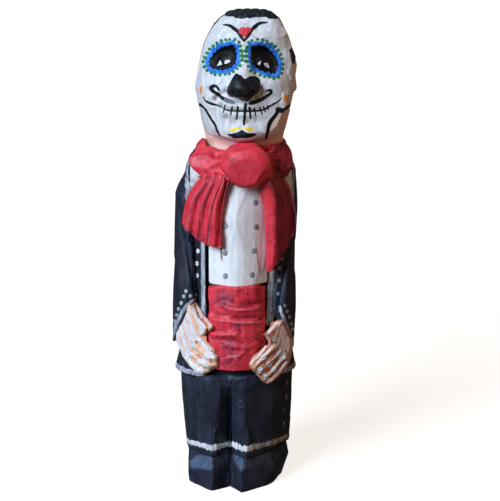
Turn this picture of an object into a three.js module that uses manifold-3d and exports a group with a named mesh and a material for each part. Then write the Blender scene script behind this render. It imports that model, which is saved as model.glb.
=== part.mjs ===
// Carved and painted wooden Day of the Dead musician, standing, with a skull-painted face.
// Millimetres, +Z up, the figure faces -Y. The origin is under the middle of the figure, on the floor.
// Left and right are the figure's own: its right hand is on the -X side.
import * as THREE from 'three';
import { mergeVertices } from 'three/addons/utils/BufferGeometryUtils.js';
import Module from 'manifold-3d';

const wasm = await Module();
wasm.setup();

// Heights, from the floor up
const SHOE_HEIGHT = 20;
const TOE_HEIGHT = 12;
const LEG_LENGTH = 46;
const TRUNK_HEIGHT = 135;
const NECK_LENGTH = 9;
const HEAD_HEIGHT = 70;

// Glue line between two pieces, and the dowels that hold them
const GLUE_GAP = 0.3;
const FORM_GAP = 0.4;
const DOWEL_SIDES = 16;
const NECK_DOWEL = { radius: 4.8, length: 36, back: 2 };
const SHOULDER_DOWEL = { radius: 3, length: 17, drop: 26, out: 24 };
const HAND_PEG = { radius: 2.5, length: 14, inward: 1, below: 19 };
const KNOT_PEG = { radius: 2.5, length: 18, middle: -24 };
const HIP_DOWEL = { radius: 4, length: 40, rightX: -16, leftX: 14, y: 0 };
const ANKLE_PEG = { radius: 3, length: 22, rightX: -16, leftX: 12, y: -3 };

// The jacketed trunk: stations up from the hem, each a rounded diamond like a block carved on its corner.
// The chest and shoulders keep their distance from the neck seat at its top.
const TRUNK_ROUNDNESS = 1.6;
const TRUNK = [
  { rise: 0, halfWidth: 36.2, front: 29, back: 29, shift: -0.5 },
  { rise: 18, halfWidth: 32.5, front: 31, back: 29, shift: 0 },
  { rise: 45, halfWidth: 29, front: 31, back: 27, shift: 0 },
  { rise: TRUNK_HEIGHT - 55, halfWidth: 29.5, front: 29, back: 29, shift: 0.5 },
  { rise: TRUNK_HEIGHT - 30, halfWidth: 30.5, front: 27.5, back: 29, shift: 1 },
  { rise: TRUNK_HEIGHT - 13, halfWidth: 29.5, front: 25.5, back: 26, shift: 2 },
  { rise: TRUNK_HEIGHT - 5, halfWidth: 27, front: 23.5, back: 23.5, shift: 3.5 },
  { rise: TRUNK_HEIGHT, halfWidth: 23.5, front: 21, back: 21, shift: 4.5 },
];

// The jacket's front opening, where shirt and sash are let in
const OPENING = { halfWidth: 18.8, middle: 1, depth: 5 };
const LAPEL = { lowDrop: 53, wideDrop: 27, wideHalfWidth: 24.5, topHalfWidth: 15 };
const SHIRT = { setBack: 0.9, sideGap: 2.2 };
const SASH = { bottomRise: 8, topRise: 58, proud: 1.4, sideGap: 0.9 };
const BELLY = { rise: 24, halfHeight: 14, proud: 1.6 };

// Arms: stations from the cuff up to the shoulder, and the slanting cuff
const ARM = [
  { rise: 6, out: 28.5, back: -4, halfWidth: 8.6, halfDepth: 16 },
  { rise: 24, out: 29, back: -4, halfWidth: 9.2, halfDepth: 17 },
  { rise: 48, out: 29, back: -3, halfWidth: 9, halfDepth: 17 },
  { rise: TRUNK_HEIGHT - 60, out: 28.8, back: 1, halfWidth: 8, halfDepth: 15 },
  { rise: TRUNK_HEIGHT - 25, out: 28.2, back: 2, halfWidth: 8.2, halfDepth: 14 },
  { rise: TRUNK_HEIGHT - 8, out: 25.5, back: 2, halfWidth: 7, halfDepth: 11 },
  { rise: TRUNK_HEIGHT - 4, out: 23.5, back: 2, halfWidth: 3, halfDepth: 6 },
];
const CUFF = { rise: 42.5, out: 25, slope: 1.7, inward: 0.95, forward: 0.3 };
const LEFT_CUFF_DROP = 2;
const LEFT_ARM_DROP = 5;
const LEFT_ARM_TUCK = 4;
const LEFT_SHOULDER_TUCK = 1.2;
const LEFT_HAND_TUCK = 2;

// Hands: outline from the wrist, inward and up, lying on the slanting front of the jacket
const HAND = { wristRise: 45, wristOut: 25, facing: 39, thickness: 7.5, sink: 16, bevel: 2.2 };
const HAND_OUTLINE = [
  [1, 0.5], [9, -6.5], [14.6, -11], [12.8, -14], [11, -17], [14, -20], [19, -23.5], [20.3, -28.5],
  [17.5, -33], [13, -37], [9.5, -41], [3, -38], [-5, -31], [-8.5, -23.5], [-8.5, -19],
];
const FINGER_GROOVES = [
  { from: [8, -20.5], to: [20.5, -26] },
  { from: [5, -25], to: [19, -32] },
  { from: [1, -29], to: [13.5, -37.5] },
];
const FINGER_CUT = { width: 1.3, depth: 1.8 };

// The big bow: knot, band round the neck, two loops and two pleated tails.
// Edges are front-view curves from the knot outward, x and height from the neck seat.
// Depths are at the four corners.
const KNOT = { x: 6.1, drop: 5.6, halfWidth: 13.6, halfHeight: 12.6, thickness: 15, front: 36 };
const KNOT_PROFILE = [
  [0, 0], [0.95, 0], [1, 0.15], [1, 0.5], [0.93, 0.74], [0.74, 0.89], [0.4, 0.97], [0, 1],
];
const NECK_BAND = { height: 6, wall: 1.7, drop: 2.5 };
const LOOP = { innerSink: 10, outerSink: 10, pleats: 3, pleatDepth: 0.8, swell: 1.6 };
const TAIL = { innerSink: 18, outerSink: 8, pleats: 5, pleatDepth: 2, swell: 1.8 };
const RIGHT_LOOP = {
  inner: [[-3, -1], [-10, 3], [-18.5, 6]],
  outer: [[-4, -14], [-11.5, -15.5], [-17.4, -14.7]],
  innerDepth: [24, 13], outerDepth: [30, 20.5], endBulge: 8.8,
};
const LEFT_LOOP = {
  inner: [[15, -1], [21, 2], [27, 4]],
  outer: [[16, -14], [22.5, -15.5], [28.8, -14.5]],
  innerDepth: [22, 12.5], outerDepth: [27, 17], endBulge: 4.5,
};
const RIGHT_TAIL = {
  inner: [[-4, -14], [-9, -27], [-8.8, -53.5]],
  outer: [[-12, -11], [-29, -16], [-31, -42]],
  innerDepth: [31, 31], outerDepth: [25, 17.5], endBulge: 2.5,
};
const LEFT_TAIL = {
  inner: [[13, -16], [17.2, -29], [17.6, -70]],
  outer: [[21, -13], [34, -16], [34.8, -44]],
  innerDepth: [27, 23.5], outerDepth: [22, 14.5], endBulge: 2.5,
};

// Trousers and shoes in plan: ridge, sides and back ridge of each, and the grooves between the two
const GROOVE = { x: -4, y: -23, topY: -27.5, toeY: -27, backX: -1, backY: 23 };
const TROUSER = { flare: 0.08, rake: 0.07, levels: 4, shoulder: 5, inset: 0.12 };
const SHOE_TOP_INSET = 0.04;
const RIGHT_LEG_PLAN = [[-15.5, -30], [-29, -14.5], [-31, -2], [-27.5, 13], [-14, 28.5]];
const LEFT_LEG_PLAN = [[3.5, -31.5], [20.5, -20], [31.5, -3], [27.5, 13], [11, 28.5]];
const RIGHT_SOLE_PLAN = [[-14.7, -33.5], [-28.5, -18], [-29.5, -4], [-25.5, 12], [-13, 27]];
const LEFT_SOLE_PLAN = [[2.4, -36], [20.5, -22.6], [27, -5], [23.5, 12], [10, 27]];
const LEFT_TOE_PLAN = [[2.4, -35.5], [21.5, -22], [31.5, -4], [27, 13], [11, 28]];

// The head: stations up from the chin, then the relief cut into the face, which sits a little to its right
const HEAD_X = 5;
const HEAD_ROUNDNESS = 2.2;
const FACE_SHIFT = -1.8;
const HEAD = [
  { rise: -NECK_LENGTH, halfWidth: 22, front: 15.5, back: 20, shift: 0 },
  { rise: -3, halfWidth: 22.6, front: 17, back: 22, shift: 0 },
  { rise: 1.5, halfWidth: 23.4, front: 25.5, back: 24, shift: 0 },
  { rise: 10, halfWidth: 25.5, front: 28, back: 27, shift: 0 },
  { rise: 22, halfWidth: 27.6, front: 28.5, back: 30, shift: 0 },
  { rise: 36, halfWidth: 26.6, front: 28, back: 31, shift: 0.6 },
  { rise: 48, halfWidth: 24.4, front: 27, back: 30, shift: 1.4 },
  { rise: 58, halfWidth: 20.6, front: 23.5, back: 25.5, shift: 2 },
  { rise: 65, halfWidth: 15.6, front: 17.5, back: 18.5, shift: 2.6 },
  { rise: HEAD_HEIGHT - 1.2, halfWidth: 10, front: 11, back: 11.5, shift: 3 },
  { rise: HEAD_HEIGHT, halfWidth: 4, front: 4, back: 4, shift: 3 },
];
const FACE_RELIEF = [
  { x: 0, rise: 53, halfWidth: 19, halfHeight: 3.6, height: 1.5 },
  { x: -12.3, rise: 45, halfWidth: 7, halfHeight: 6.2, height: -3 },
  { x: 12.3, rise: 45, halfWidth: 7, halfHeight: 6.2, height: -3 },
  { x: -12.3, rise: 43.5, halfWidth: 4, halfHeight: 3, height: 1.4 },
  { x: 12.3, rise: 43.5, halfWidth: 4, halfHeight: 3, height: 1.4 },
  { x: -16, rise: 30, halfWidth: 7, halfHeight: 6, height: 1.8 },
  { x: 16, rise: 30, halfWidth: 7, halfHeight: 6, height: 1.8 },
  { x: 0, rise: 18, halfWidth: 12, halfHeight: 7, height: 2 },
  { x: 0, rise: 4, halfWidth: 9, halfHeight: 4, height: 2.2 },
];
const NOSE = {
  tipRise: 28, bridgeRise: 48, underRise: 22.5, length: 8.5, halfWidth: 9.5, bridgeHalfWidth: 4,
};
const EAR = { rise: 30.5, halfHeight: 9, turn: 100, spread: 11, rightHeight: 1.2, leftHeight: 3 };
const HAIR = { frontRise: 66.5, sideRise: 40, napeRise: 12, height: 1.1 };
const HAIR_TURN = { front: 70, side: 92, behindEar: 104, nape: 128 };

// Paint, as flat colours
const PAINT = {
  black: { color: 0x15171c, roughness: 0.5, metalness: 0 },
  red: { color: 0xb3202c, roughness: 0.5, metalness: 0 },
  white: { color: 0xdfe3e8, roughness: 0.55, metalness: 0 },
  skin: { color: 0xc99a78, roughness: 0.55, metalness: 0 },
  wood: { color: 0xc8a878, roughness: 0.8, metalness: 0 },
};

// What follows from the sizes above
const HEM_Z = SHOE_HEIGHT + LEG_LENGTH + 2 * GLUE_GAP;
const NECK_SEAT_Z = HEM_Z + TRUNK_HEIGHT;
const CHIN_Z = NECK_SEAT_Z + GLUE_GAP + NECK_LENGTH;
const KNOT_Z = NECK_SEAT_Z - KNOT.drop;
const SHOULDER_RISE = TRUNK_HEIGHT - SHOULDER_DOWEL.drop;
const SIDES = ['right', 'left'];
const SIGN = { right: -1, left: 1 };
const ARM_DROP = { right: 0, left: LEFT_ARM_DROP };
const CUFF_DROP = { right: 0, left: LEFT_CUFF_DROP };
const ARM_TUCK = { right: 0, left: LEFT_ARM_TUCK };
const SHOULDER_TUCK = { right: 0, left: LEFT_SHOULDER_TUCK };
const HAND_TUCK = { right: 0, left: LEFT_HAND_TUCK };
const { clamp, lerp, smoothstep, degToRad, radToDeg } = THREE.MathUtils;

// Solids

// A geometry as a closed solid that can be cut and joined
function solid(geometry) {
  const bare = geometry.clone();
  bare.deleteAttribute('normal');
  bare.deleteAttribute('uv');
  const merged = mergeVertices(bare, 1e-4);
  const corners = merged.index.array;
  const triangles = [];
  for (let i = 0; i < corners.length; i += 3) {
    const [a, b, c] = [corners[i], corners[i + 1], corners[i + 2]];
    if (a !== b && b !== c && c !== a) triangles.push(a, b, c);
  }
  return new wasm.Manifold(new wasm.Mesh({
    numProp: 3,
    vertProperties: Float32Array.from(merged.getAttribute('position').array),
    triVerts: Uint32Array.from(triangles),
  }));
}

// A solid back as a geometry
function geometryOf(manifold) {
  const { vertProperties, triVerts, numProp, numVert } = manifold.getMesh();
  const position = new Float32Array(numVert * 3);
  for (let i = 0; i < numVert; i += 1) {
    position.set(vertProperties.subarray(i * numProp, i * numProp + 3), i * 3);
  }
  const geometry = new THREE.BufferGeometry();
  geometry.setAttribute('position', new THREE.BufferAttribute(position, 3));
  geometry.setIndex(new THREE.BufferAttribute(Uint32Array.from(triVerts), 1));
  return geometry.toNonIndexed();
}

// A form with several others cut away from it
function cut(form, ...others) {
  return others.reduce((rest, other) => rest.subtract(other), form);
}

// A smooth value of one key between the stations of a table
function along(stations, rise, key) {
  const last = stations.length - 1;
  let i = 0;
  while (i < last - 1 && rise > stations[i + 1].rise) i += 1;
  const low = stations[i];
  const high = stations[i + 1];
  const before = stations[Math.max(i - 1, 0)];
  const after = stations[Math.min(i + 2, last)];
  const span = high.rise - low.rise;
  const t = clamp((rise - low.rise) / span, 0, 1);
  const slopeLow = (high[key] - before[key]) / (high.rise - before.rise) * span;
  const slopeHigh = (after[key] - low[key]) / (after.rise - low.rise) * span;
  const t2 = t * t;
  const t3 = t2 * t;
  return (2 * t3 - 3 * t2 + 1) * low[key] + (t3 - 2 * t2 + t) * slopeLow
    + (3 * t2 - 2 * t3) * high[key] + (t3 - t2) * slopeHigh;
}

// A closed column: a cylinder whose rings are moved to the sections of a form.
// Turn 0 is the front, growing towards +X. Share runs from 0 at the foot to 1 at the top.
function column(sides, rings, point, centre) {
  const geometry = new THREE.CylinderGeometry(1, 1, 1, sides, rings);
  const position = geometry.getAttribute('position');
  const from = new THREE.Vector3();
  for (let i = 0; i < position.count; i += 1) {
    from.fromBufferAttribute(position, i);
    const share = from.y + 0.5;
    const onWall = Math.hypot(from.x, from.z) > 0.5;
    const to = onWall ? point(Math.atan2(from.x, from.z), share) : centre(share);
    position.setXYZ(i, ...to);
  }
  return solid(geometry);
}

// One point of a section: a diamond, ellipse or square with rounded corners
function onSection(turn, roundness, halfWidth, front, back) {
  const bow = (value) => Math.sign(value) * Math.abs(value) ** (2 / roundness);
  const depth = Math.cos(turn) > 0 ? front : back;
  return [halfWidth * bow(Math.sin(turn)), -depth * bow(Math.cos(turn))];
}

// A straight prism of a front-view outline, from the middle of the figure out past its front
function frontPrism(outline) {
  const depth = 60;
  const shape = new THREE.Shape(outline.map(([x, z]) => new THREE.Vector2(x, z)));
  const geometry = new THREE.ExtrudeGeometry(shape, { depth, bevelEnabled: false });
  return solid(geometry.rotateX(Math.PI / 2));
}

// A flat slab between two heights, wider than the whole figure
function slab(lowZ, highZ) {
  const width = 200;
  return solid(new THREE.BoxGeometry(width, width, highZ - lowZ).translate(0, 0, (lowZ + highZ) / 2));
}

// A round bar about a middle point
function bar(middle, direction, radius, length) {
  const geometry = new THREE.CylinderGeometry(radius, radius, length, DOWEL_SIDES);
  const upright = new THREE.Vector3(0, 1, 0);
  geometry.applyQuaternion(new THREE.Quaternion().setFromUnitVectors(upright, direction.clone().normalize()));
  return solid(geometry.translate(middle.x, middle.y, middle.z));
}

// A dowel and the socket that it is glued into
function dowel(middle, direction, { radius, length }) {
  return {
    peg: bar(middle, direction, radius, length),
    socket: bar(middle, direction, radius + GLUE_GAP, length + 2 * GLUE_GAP),
  };
}

// Trunk

// The trunk grown by a number, or by a function of the height above the hem, and run on past its ends
function trunkForm(grow, under = 0, over = 0) {
  const growth = typeof grow === 'function' ? grow : () => grow;
  const riseAt = (share) => share * TRUNK_HEIGHT;
  const zAt = (share) => HEM_Z + riseAt(share) - (share === 0 ? under : 0) + (share === 1 ? over : 0);
  const point = (turn, share) => {
    const rise = riseAt(share);
    const size = (key) => along(TRUNK, rise, key) + growth(rise);
    const [x, y] = onSection(turn, TRUNK_ROUNDNESS, size('halfWidth'), size('front'), size('back'));
    return [along(TRUNK, rise, 'shift') + x, y, zAt(share)];
  };
  const centre = (share) => [along(TRUNK, riseAt(share), 'shift'), 0, zAt(share)];
  return column(32, 18, point, centre);
}

// Depth of the trunk's front surface at a place in the front view
function trunkFront(x, rise) {
  const away = Math.abs(x - along(TRUNK, rise, 'shift')) / along(TRUNK, rise, 'halfWidth');
  const share = Math.min(away, 0.995);
  return -along(TRUNK, rise, 'front') * (1 - share ** TRUNK_ROUNDNESS) ** (1 / TRUNK_ROUNDNESS);
}

// Front-view outline of the jacket's opening between two heights, inset by a clearance
function openingOutline(inset, bottomRise, topRise) {
  const overrun = 10;
  const edge = [
    { rise: -overrun, half: OPENING.halfWidth },
    { rise: TRUNK_HEIGHT - LAPEL.lowDrop, half: OPENING.halfWidth },
    { rise: TRUNK_HEIGHT - LAPEL.wideDrop, half: LAPEL.wideHalfWidth },
    { rise: TRUNK_HEIGHT + overrun, half: LAPEL.topHalfWidth },
  ];
  const halfAt = (rise) => {
    const i = Math.max(1, edge.findIndex((row) => row.rise >= rise));
    const share = (rise - edge[i - 1].rise) / (edge[i].rise - edge[i - 1].rise);
    return lerp(edge[i - 1].half, edge[i].half, share) - inset;
  };
  const between = edge.map((row) => row.rise).filter((rise) => rise > bottomRise && rise < topRise);
  const levels = [bottomRise, ...between, topRise];
  const right = levels.map((rise) => [OPENING.middle - halfAt(rise), HEM_Z + rise]);
  const left = levels.map((rise) => [OPENING.middle + halfAt(rise), HEM_Z + rise]);
  return [...left, ...right.reverse()];
}

const jacketForm = trunkForm(0);
const jacketClear = trunkForm(FORM_GAP, LEFT_ARM_DROP + 3, GLUE_GAP);
const recessFloor = trunkForm(-OPENING.depth, 4, 4);
const recessFloorClear = trunkForm(FORM_GAP - OPENING.depth, 4, 4);
const recess = frontPrism(openingOutline(0, -2, TRUNK_HEIGHT + 2)).subtract(recessFloor);

function shirtFront() {
  const outline = openingOutline(SHIRT.sideGap, SASH.topRise + GLUE_GAP, TRUNK_HEIGHT - 1);
  return frontPrism(outline).intersect(trunkForm(-SHIRT.setBack)).subtract(recessFloorClear);
}

// The sash, standing proud of the jacket and swelling over the belly
function waistSash(extra) {
  const proud = (rise) => {
    const up = (rise - BELLY.rise) / BELLY.halfHeight;
    return SASH.proud + BELLY.proud * Math.exp(-up * up) + extra;
  };
  const outline = openingOutline(SASH.sideGap - extra, SASH.bottomRise - extra, SASH.topRise + extra);
  return frontPrism(outline).intersect(trunkForm(proud)).subtract(recessFloorClear);
}

const sashClear = waistSash(GLUE_GAP);

// Arms

function armForm(side, grow) {
  const lowest = ARM[0].rise;
  const highest = ARM[ARM.length - 1].rise;
  const riseAt = (share) => lerp(lowest, highest, share);
  const tuck = (rise) => lerp(ARM_TUCK[side], SHOULDER_TUCK[side], (rise - lowest) / (highest - lowest));
  const middle = (rise) => [
    SIGN[side] * (along(ARM, rise, 'out') - tuck(rise)) + along(TRUNK, rise, 'shift'),
    along(ARM, rise, 'back'),
    HEM_Z + rise,
  ];
  const point = (turn, share) => {
    const rise = riseAt(share);
    const depth = along(ARM, rise, 'halfDepth') + grow;
    const [x, y] = onSection(turn, 2, along(ARM, rise, 'halfWidth') + grow, depth, depth);
    const [middleX, middleY, z] = middle(rise);
    return [middleX + x, middleY + y, z];
  };
  return column(18, 14, point, (share) => middle(riseAt(share)));
}

// The wedge that is cut off below the cuff
function belowCuff(side) {
  const size = 120;
  const box = new THREE.BoxGeometry(size, size, size).translate(0, 0, -size / 2);
  const up = new THREE.Vector3(SIGN[side] * CUFF.slope * CUFF.inward, CUFF.slope * CUFF.forward, 1);
  box.applyQuaternion(new THREE.Quaternion().setFromUnitVectors(new THREE.Vector3(0, 0, 1), up.normalize()));
  const out = CUFF.out - ARM_TUCK[side];
  box.translate(SIGN[side] * out, trunkFront(out, CUFF.rise), HEM_Z + CUFF.rise - CUFF_DROP[side]);
  return solid(box);
}

// Hands

// From the hand's own plane, inward and up from the wrist and out from the jacket, to the figure
function seatHand(geometry, side) {
  const rise = HAND.wristRise - ARM_DROP[side];
  const x = SIGN[side] * (HAND.wristOut - HAND_TUCK[side]);
  geometry.rotateX(Math.PI / 2);
  geometry.rotateZ(SIGN[side] * degToRad(HAND.facing));
  return geometry.translate(x, trunkFront(x, rise / 2), HEM_Z + rise);
}

function handForm(side) {
  const flat = ([inward, up]) => new THREE.Vector2(-SIGN[side] * inward, up);
  const { bevel, thickness, sink } = HAND;
  const palm = new THREE.ExtrudeGeometry(new THREE.Shape(HAND_OUTLINE.map(flat)), {
    depth: thickness + sink - bevel,
    bevelThickness: bevel,
    bevelSize: bevel,
    bevelOffset: -bevel,
    bevelSegments: 2,
  });
  const grooves = FINGER_GROOVES.map(({ from, to }) => {
    const start = flat(from);
    const reach = flat(to).sub(start);
    const groove = new THREE.BoxGeometry(reach.length(), FINGER_CUT.width, 2 * FINGER_CUT.depth);
    groove.rotateZ(reach.angle());
    groove.translate(start.x + reach.x / 2, start.y + reach.y / 2, thickness);
    return solid(seatHand(groove, side));
  });
  return cut(solid(seatHand(palm.translate(0, 0, -sink), side)), ...grooves);
}

function handPeg(side) {
  const start = new THREE.BufferGeometry().setFromPoints([
    new THREE.Vector3(-SIGN[side] * HAND_PEG.inward, -HAND_PEG.below, 0),
    new THREE.Vector3(-SIGN[side] * HAND_PEG.inward, -HAND_PEG.below, 1),
  ]);
  const points = seatHand(start, side).getAttribute('position');
  const middle = new THREE.Vector3().fromBufferAttribute(points, 0);
  const outward = new THREE.Vector3().fromBufferAttribute(points, 1).sub(middle);
  return dowel(middle.addScaledVector(outward, -1), outward, HAND_PEG);
}

// Head

function noseHeight(x, rise) {
  if (rise >= NOSE.bridgeRise || rise <= NOSE.underRise) return 0;
  const down = clamp((NOSE.bridgeRise - rise) / (NOSE.bridgeRise - NOSE.tipRise), 0, 1);
  const under = clamp((rise - NOSE.underRise) / (NOSE.tipRise - NOSE.underRise), 0, 1);
  const share = Math.min(Math.abs(x) / lerp(NOSE.bridgeHalfWidth, NOSE.halfWidth, down), 1);
  return NOSE.length * down * Math.sqrt(under) * Math.cos(share * Math.PI / 2);
}

function faceHeight(x, rise) {
  let height = noseHeight(x, rise);
  for (const bump of FACE_RELIEF) {
    const across = (x - bump.x) / bump.halfWidth;
    const up = (rise - bump.rise) / bump.halfHeight;
    height += bump.height * Math.exp(-across * across - up * up);
  }
  return height;
}

// Height of the lower edge of the hair at a turn from the front
function hairline(turn) {
  const away = radToDeg(Math.abs(turn));
  const sideburn = lerp(HAIR.frontRise, HAIR.sideRise, smoothstep(away, HAIR_TURN.front, HAIR_TURN.side));
  return lerp(sideburn, HAIR.napeRise, smoothstep(away, HAIR_TURN.behindEar, HAIR_TURN.nape));
}

function headForm(grow, under = 0) {
  const lowest = HEAD[0].rise;
  const riseAt = (share) => lowest + (HEAD_HEIGHT - lowest) * (1 - (1 - share) ** 1.5);
  const zAt = (share) => CHIN_Z + riseAt(share) - (share === 0 ? under : 0) + (share === 1 ? grow : 0);
  const point = (around, share) => {
    const turn = around - 0.35 * Math.sin(around);
    const rise = riseAt(share);
    const size = (key) => along(HEAD, rise, key) + grow;
    let [x, y] = onSection(turn, HEAD_ROUNDNESS, size('halfWidth'), size('front'), size('back'));
    y -= faceHeight(x - FACE_SHIFT, rise) * smoothstep(Math.cos(turn), 0, 0.45);
    const earTurn = (Math.abs(turn) - degToRad(EAR.turn)) / degToRad(EAR.spread);
    const earUp = (rise - EAR.rise) / EAR.halfHeight;
    const earHeight = turn > 0 ? EAR.leftHeight : EAR.rightHeight;
    const ear = earHeight * Math.exp(-(earTurn ** 4) - earUp ** 4);
    const hair = HAIR.height * smoothstep(rise - hairline(turn), -1.2, 1.2);
    const stretch = 1 + (ear + hair) / Math.max(Math.hypot(x, y), 1);
    return [HEAD_X + along(HEAD, rise, 'shift') + x * stretch, y * stretch, zAt(share)];
  };
  const centre = (share) => [HEAD_X + along(HEAD, riseAt(share), 'shift'), 0, zAt(share)];
  return column(46, 34, point, centre);
}

const headClear = headForm(FORM_GAP, 4);

// The bow

// The neck filled out to the band's outside, between the band's edges
function neckRing(extra) {
  const lowZ = NECK_SEAT_Z - NECK_BAND.drop - extra;
  const filled = headForm(NECK_BAND.wall + extra, NECK_BAND.drop + 2);
  return filled.intersect(slab(lowZ, lowZ + NECK_BAND.height + 2 * extra));
}

const bandClear = neckRing(GLUE_GAP);

function knotForm(extra) {
  const profile = KNOT_PROFILE.map(([radius, height]) => new THREE.Vector2(radius, height));
  const geometry = new THREE.LatheGeometry(profile, 18);
  geometry.scale(KNOT.halfWidth + extra, KNOT.thickness + 2 * extra, KNOT.halfHeight + extra);
  geometry.rotateX(Math.PI);
  return solid(geometry.translate(KNOT.x, KNOT.thickness - KNOT.front + extra, KNOT_Z));
}

const knotClear = knotForm(GLUE_GAP);

// A pleated cloth swept between two front-view edges from the knot outward, fluted between sharp ridges
function cloth(plan, { innerSink, outerSink, pleats, pleatDepth, swell }, extra = 0) {
  const curve = (points) => {
    const [a, b, c] = points.map(([x, rise]) => new THREE.Vector2(x, rise));
    return new THREE.QuadraticBezierCurve(a, b, c);
  };
  const inner = curve(plan.inner);
  const outer = curve(plan.outer);
  const sweep = inner.getPoint(1).sub(inner.getPoint(0));
  const mirror = sweep.cross(outer.getPoint(0.5).sub(inner.getPoint(0.5))) > 0 ? -1 : 1;
  const end = outer.getPoint(1).sub(inner.getPoint(1)).normalize();
  const bulge = new THREE.Vector2(-mirror * end.y, mirror * end.x).multiplyScalar(plan.endBulge);
  const geometry = new THREE.BoxGeometry(1, 1, 1, pleats * 4, 1, 8);
  const position = geometry.getAttribute('position');
  for (let i = 0; i < position.count; i += 1) {
    const across = mirror * position.getX(i) * (1 + extra / 6) + 0.5;
    const down = position.getZ(i) * (1 + extra / 6) + 0.5;
    const behind = position.getY(i) > 0 ? lerp(innerSink, outerSink, across) : 0;
    const arch = Math.sin(Math.PI * across);
    const place = inner.getPoint(down).lerp(outer.getPoint(down), across);
    place.addScaledVector(bulge, arch * down * down);
    const innerDepth = lerp(plan.innerDepth[0], plan.innerDepth[1], down);
    const outerDepth = lerp(plan.outerDepth[0], plan.outerDepth[1], down);
    const flute = Math.abs(Math.sin(Math.PI * pleats * across)) * lerp(0.3, 1, down);
    const front = lerp(innerDepth, outerDepth, across) + pleatDepth * (0.5 - flute) + swell * arch + extra;
    position.setXYZ(i, place.x, behind - front, NECK_SEAT_Z + place.y);
  }
  return solid(geometry);
}

// Trousers and shoes

// A column of straight-sided plan outlines, one for each level
function planColumn(levels) {
  const sides = levels[0].points.length;
  const rings = levels.length - 1;
  const level = (share) => levels[Math.round(share * rings)];
  const point = (turn, share) => {
    const i = (Math.round(turn / (2 * Math.PI) * sides) + sides) % sides;
    return [...level(share).points[i], level(share).z];
  };
  const centre = (share) => {
    const { points, z } = level(share);
    const sum = points.reduce((total, [x, y]) => [total[0] + x, total[1] + y], [0, 0]);
    return [sum[0] / sides, sum[1] / sides, z];
  };
  return column(sides, rings, point, centre);
}

// The plan outline of one leg or shoe, in order from its front ridge towards +X
function legRing(side, plan, grooveY) {
  const split = GLUE_GAP / 2 * SIGN[side];
  const front = [GROOVE.x + split, grooveY];
  const back = [GROOVE.backX + split, GROOVE.backY];
  const [ridge, ...rest] = plan;
  return side === 'left' ? [ridge, ...rest, back, front] : [ridge, front, back, ...rest.reverse()];
}

// A leg, flaring upward, with its front and back sloped off under the hem
function trouserLeg(side, plan) {
  const bottomZ = SHOE_HEIGHT + GLUE_GAP;
  const level = (up, inset, z) => {
    const wide = 1 + TROUSER.flare * up;
    const deep = (1 - TROUSER.rake * up) * (1 - inset);
    const points = plan.map(([x, y]) => [x * wide, y * deep]);
    const grooveY = lerp(GROOVE.y, GROOVE.topY, up * up) * (1 - inset);
    return { z, points: legRing(side, points, grooveY) };
  };
  const levels = [];
  for (let i = 0; i <= TROUSER.levels; i += 1) {
    const up = i / TROUSER.levels;
    levels.push(level(up, 0, bottomZ + up * (LEG_LENGTH - TROUSER.shoulder)));
  }
  levels.push(level(1, TROUSER.inset, bottomZ + LEG_LENGTH));
  return planColumn(levels);
}

function shoe(side, sole, toe, leg) {
  const top = leg.map(([x, y]) => [x * (1 - SHOE_TOP_INSET), y * (1 - SHOE_TOP_INSET)]);
  return planColumn([
    { z: 0, points: legRing(side, sole, GROOVE.toeY) },
    { z: TOE_HEIGHT, points: legRing(side, toe, GROOVE.toeY) },
    { z: SHOE_HEIGHT, points: legRing(side, top, GROOVE.y) },
  ]);
}

// Assembly

const figure = new THREE.Group();

function place(name, manifold, paint) {
  const mesh = new THREE.Mesh(geometryOf(manifold), new THREE.MeshStandardMaterial(PAINT[paint]));
  mesh.name = name;
  figure.add(mesh);
}

const upward = new THREE.Vector3(0, 0, 1);
const neckMiddle = new THREE.Vector3(HEAD_X, NECK_DOWEL.back, NECK_SEAT_Z + GLUE_GAP / 2);
const neckDowel = dowel(neckMiddle, upward, NECK_DOWEL);
const knotMiddle = new THREE.Vector3(KNOT.x, KNOT_PEG.middle, KNOT_Z);
const knotPeg = dowel(knotMiddle, new THREE.Vector3(0, 1, 0), KNOT_PEG);
const trunkSockets = [neckDowel.socket, knotPeg.socket];
const sashSockets = [];

place('head', cut(headForm(0), neckDowel.socket), 'white');
place('neck_dowel', neckDowel.peg, 'wood');
place('neck_band', cut(neckRing(0), headClear, jacketClear), 'red');
place('bow_knot', cut(knotForm(0), jacketClear, headClear, bandClear, knotPeg.socket), 'red');
place('bow_knot_peg', knotPeg.peg, 'wood');
place('shirt_front', cut(shirtFront(), knotPeg.socket), 'white');

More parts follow.
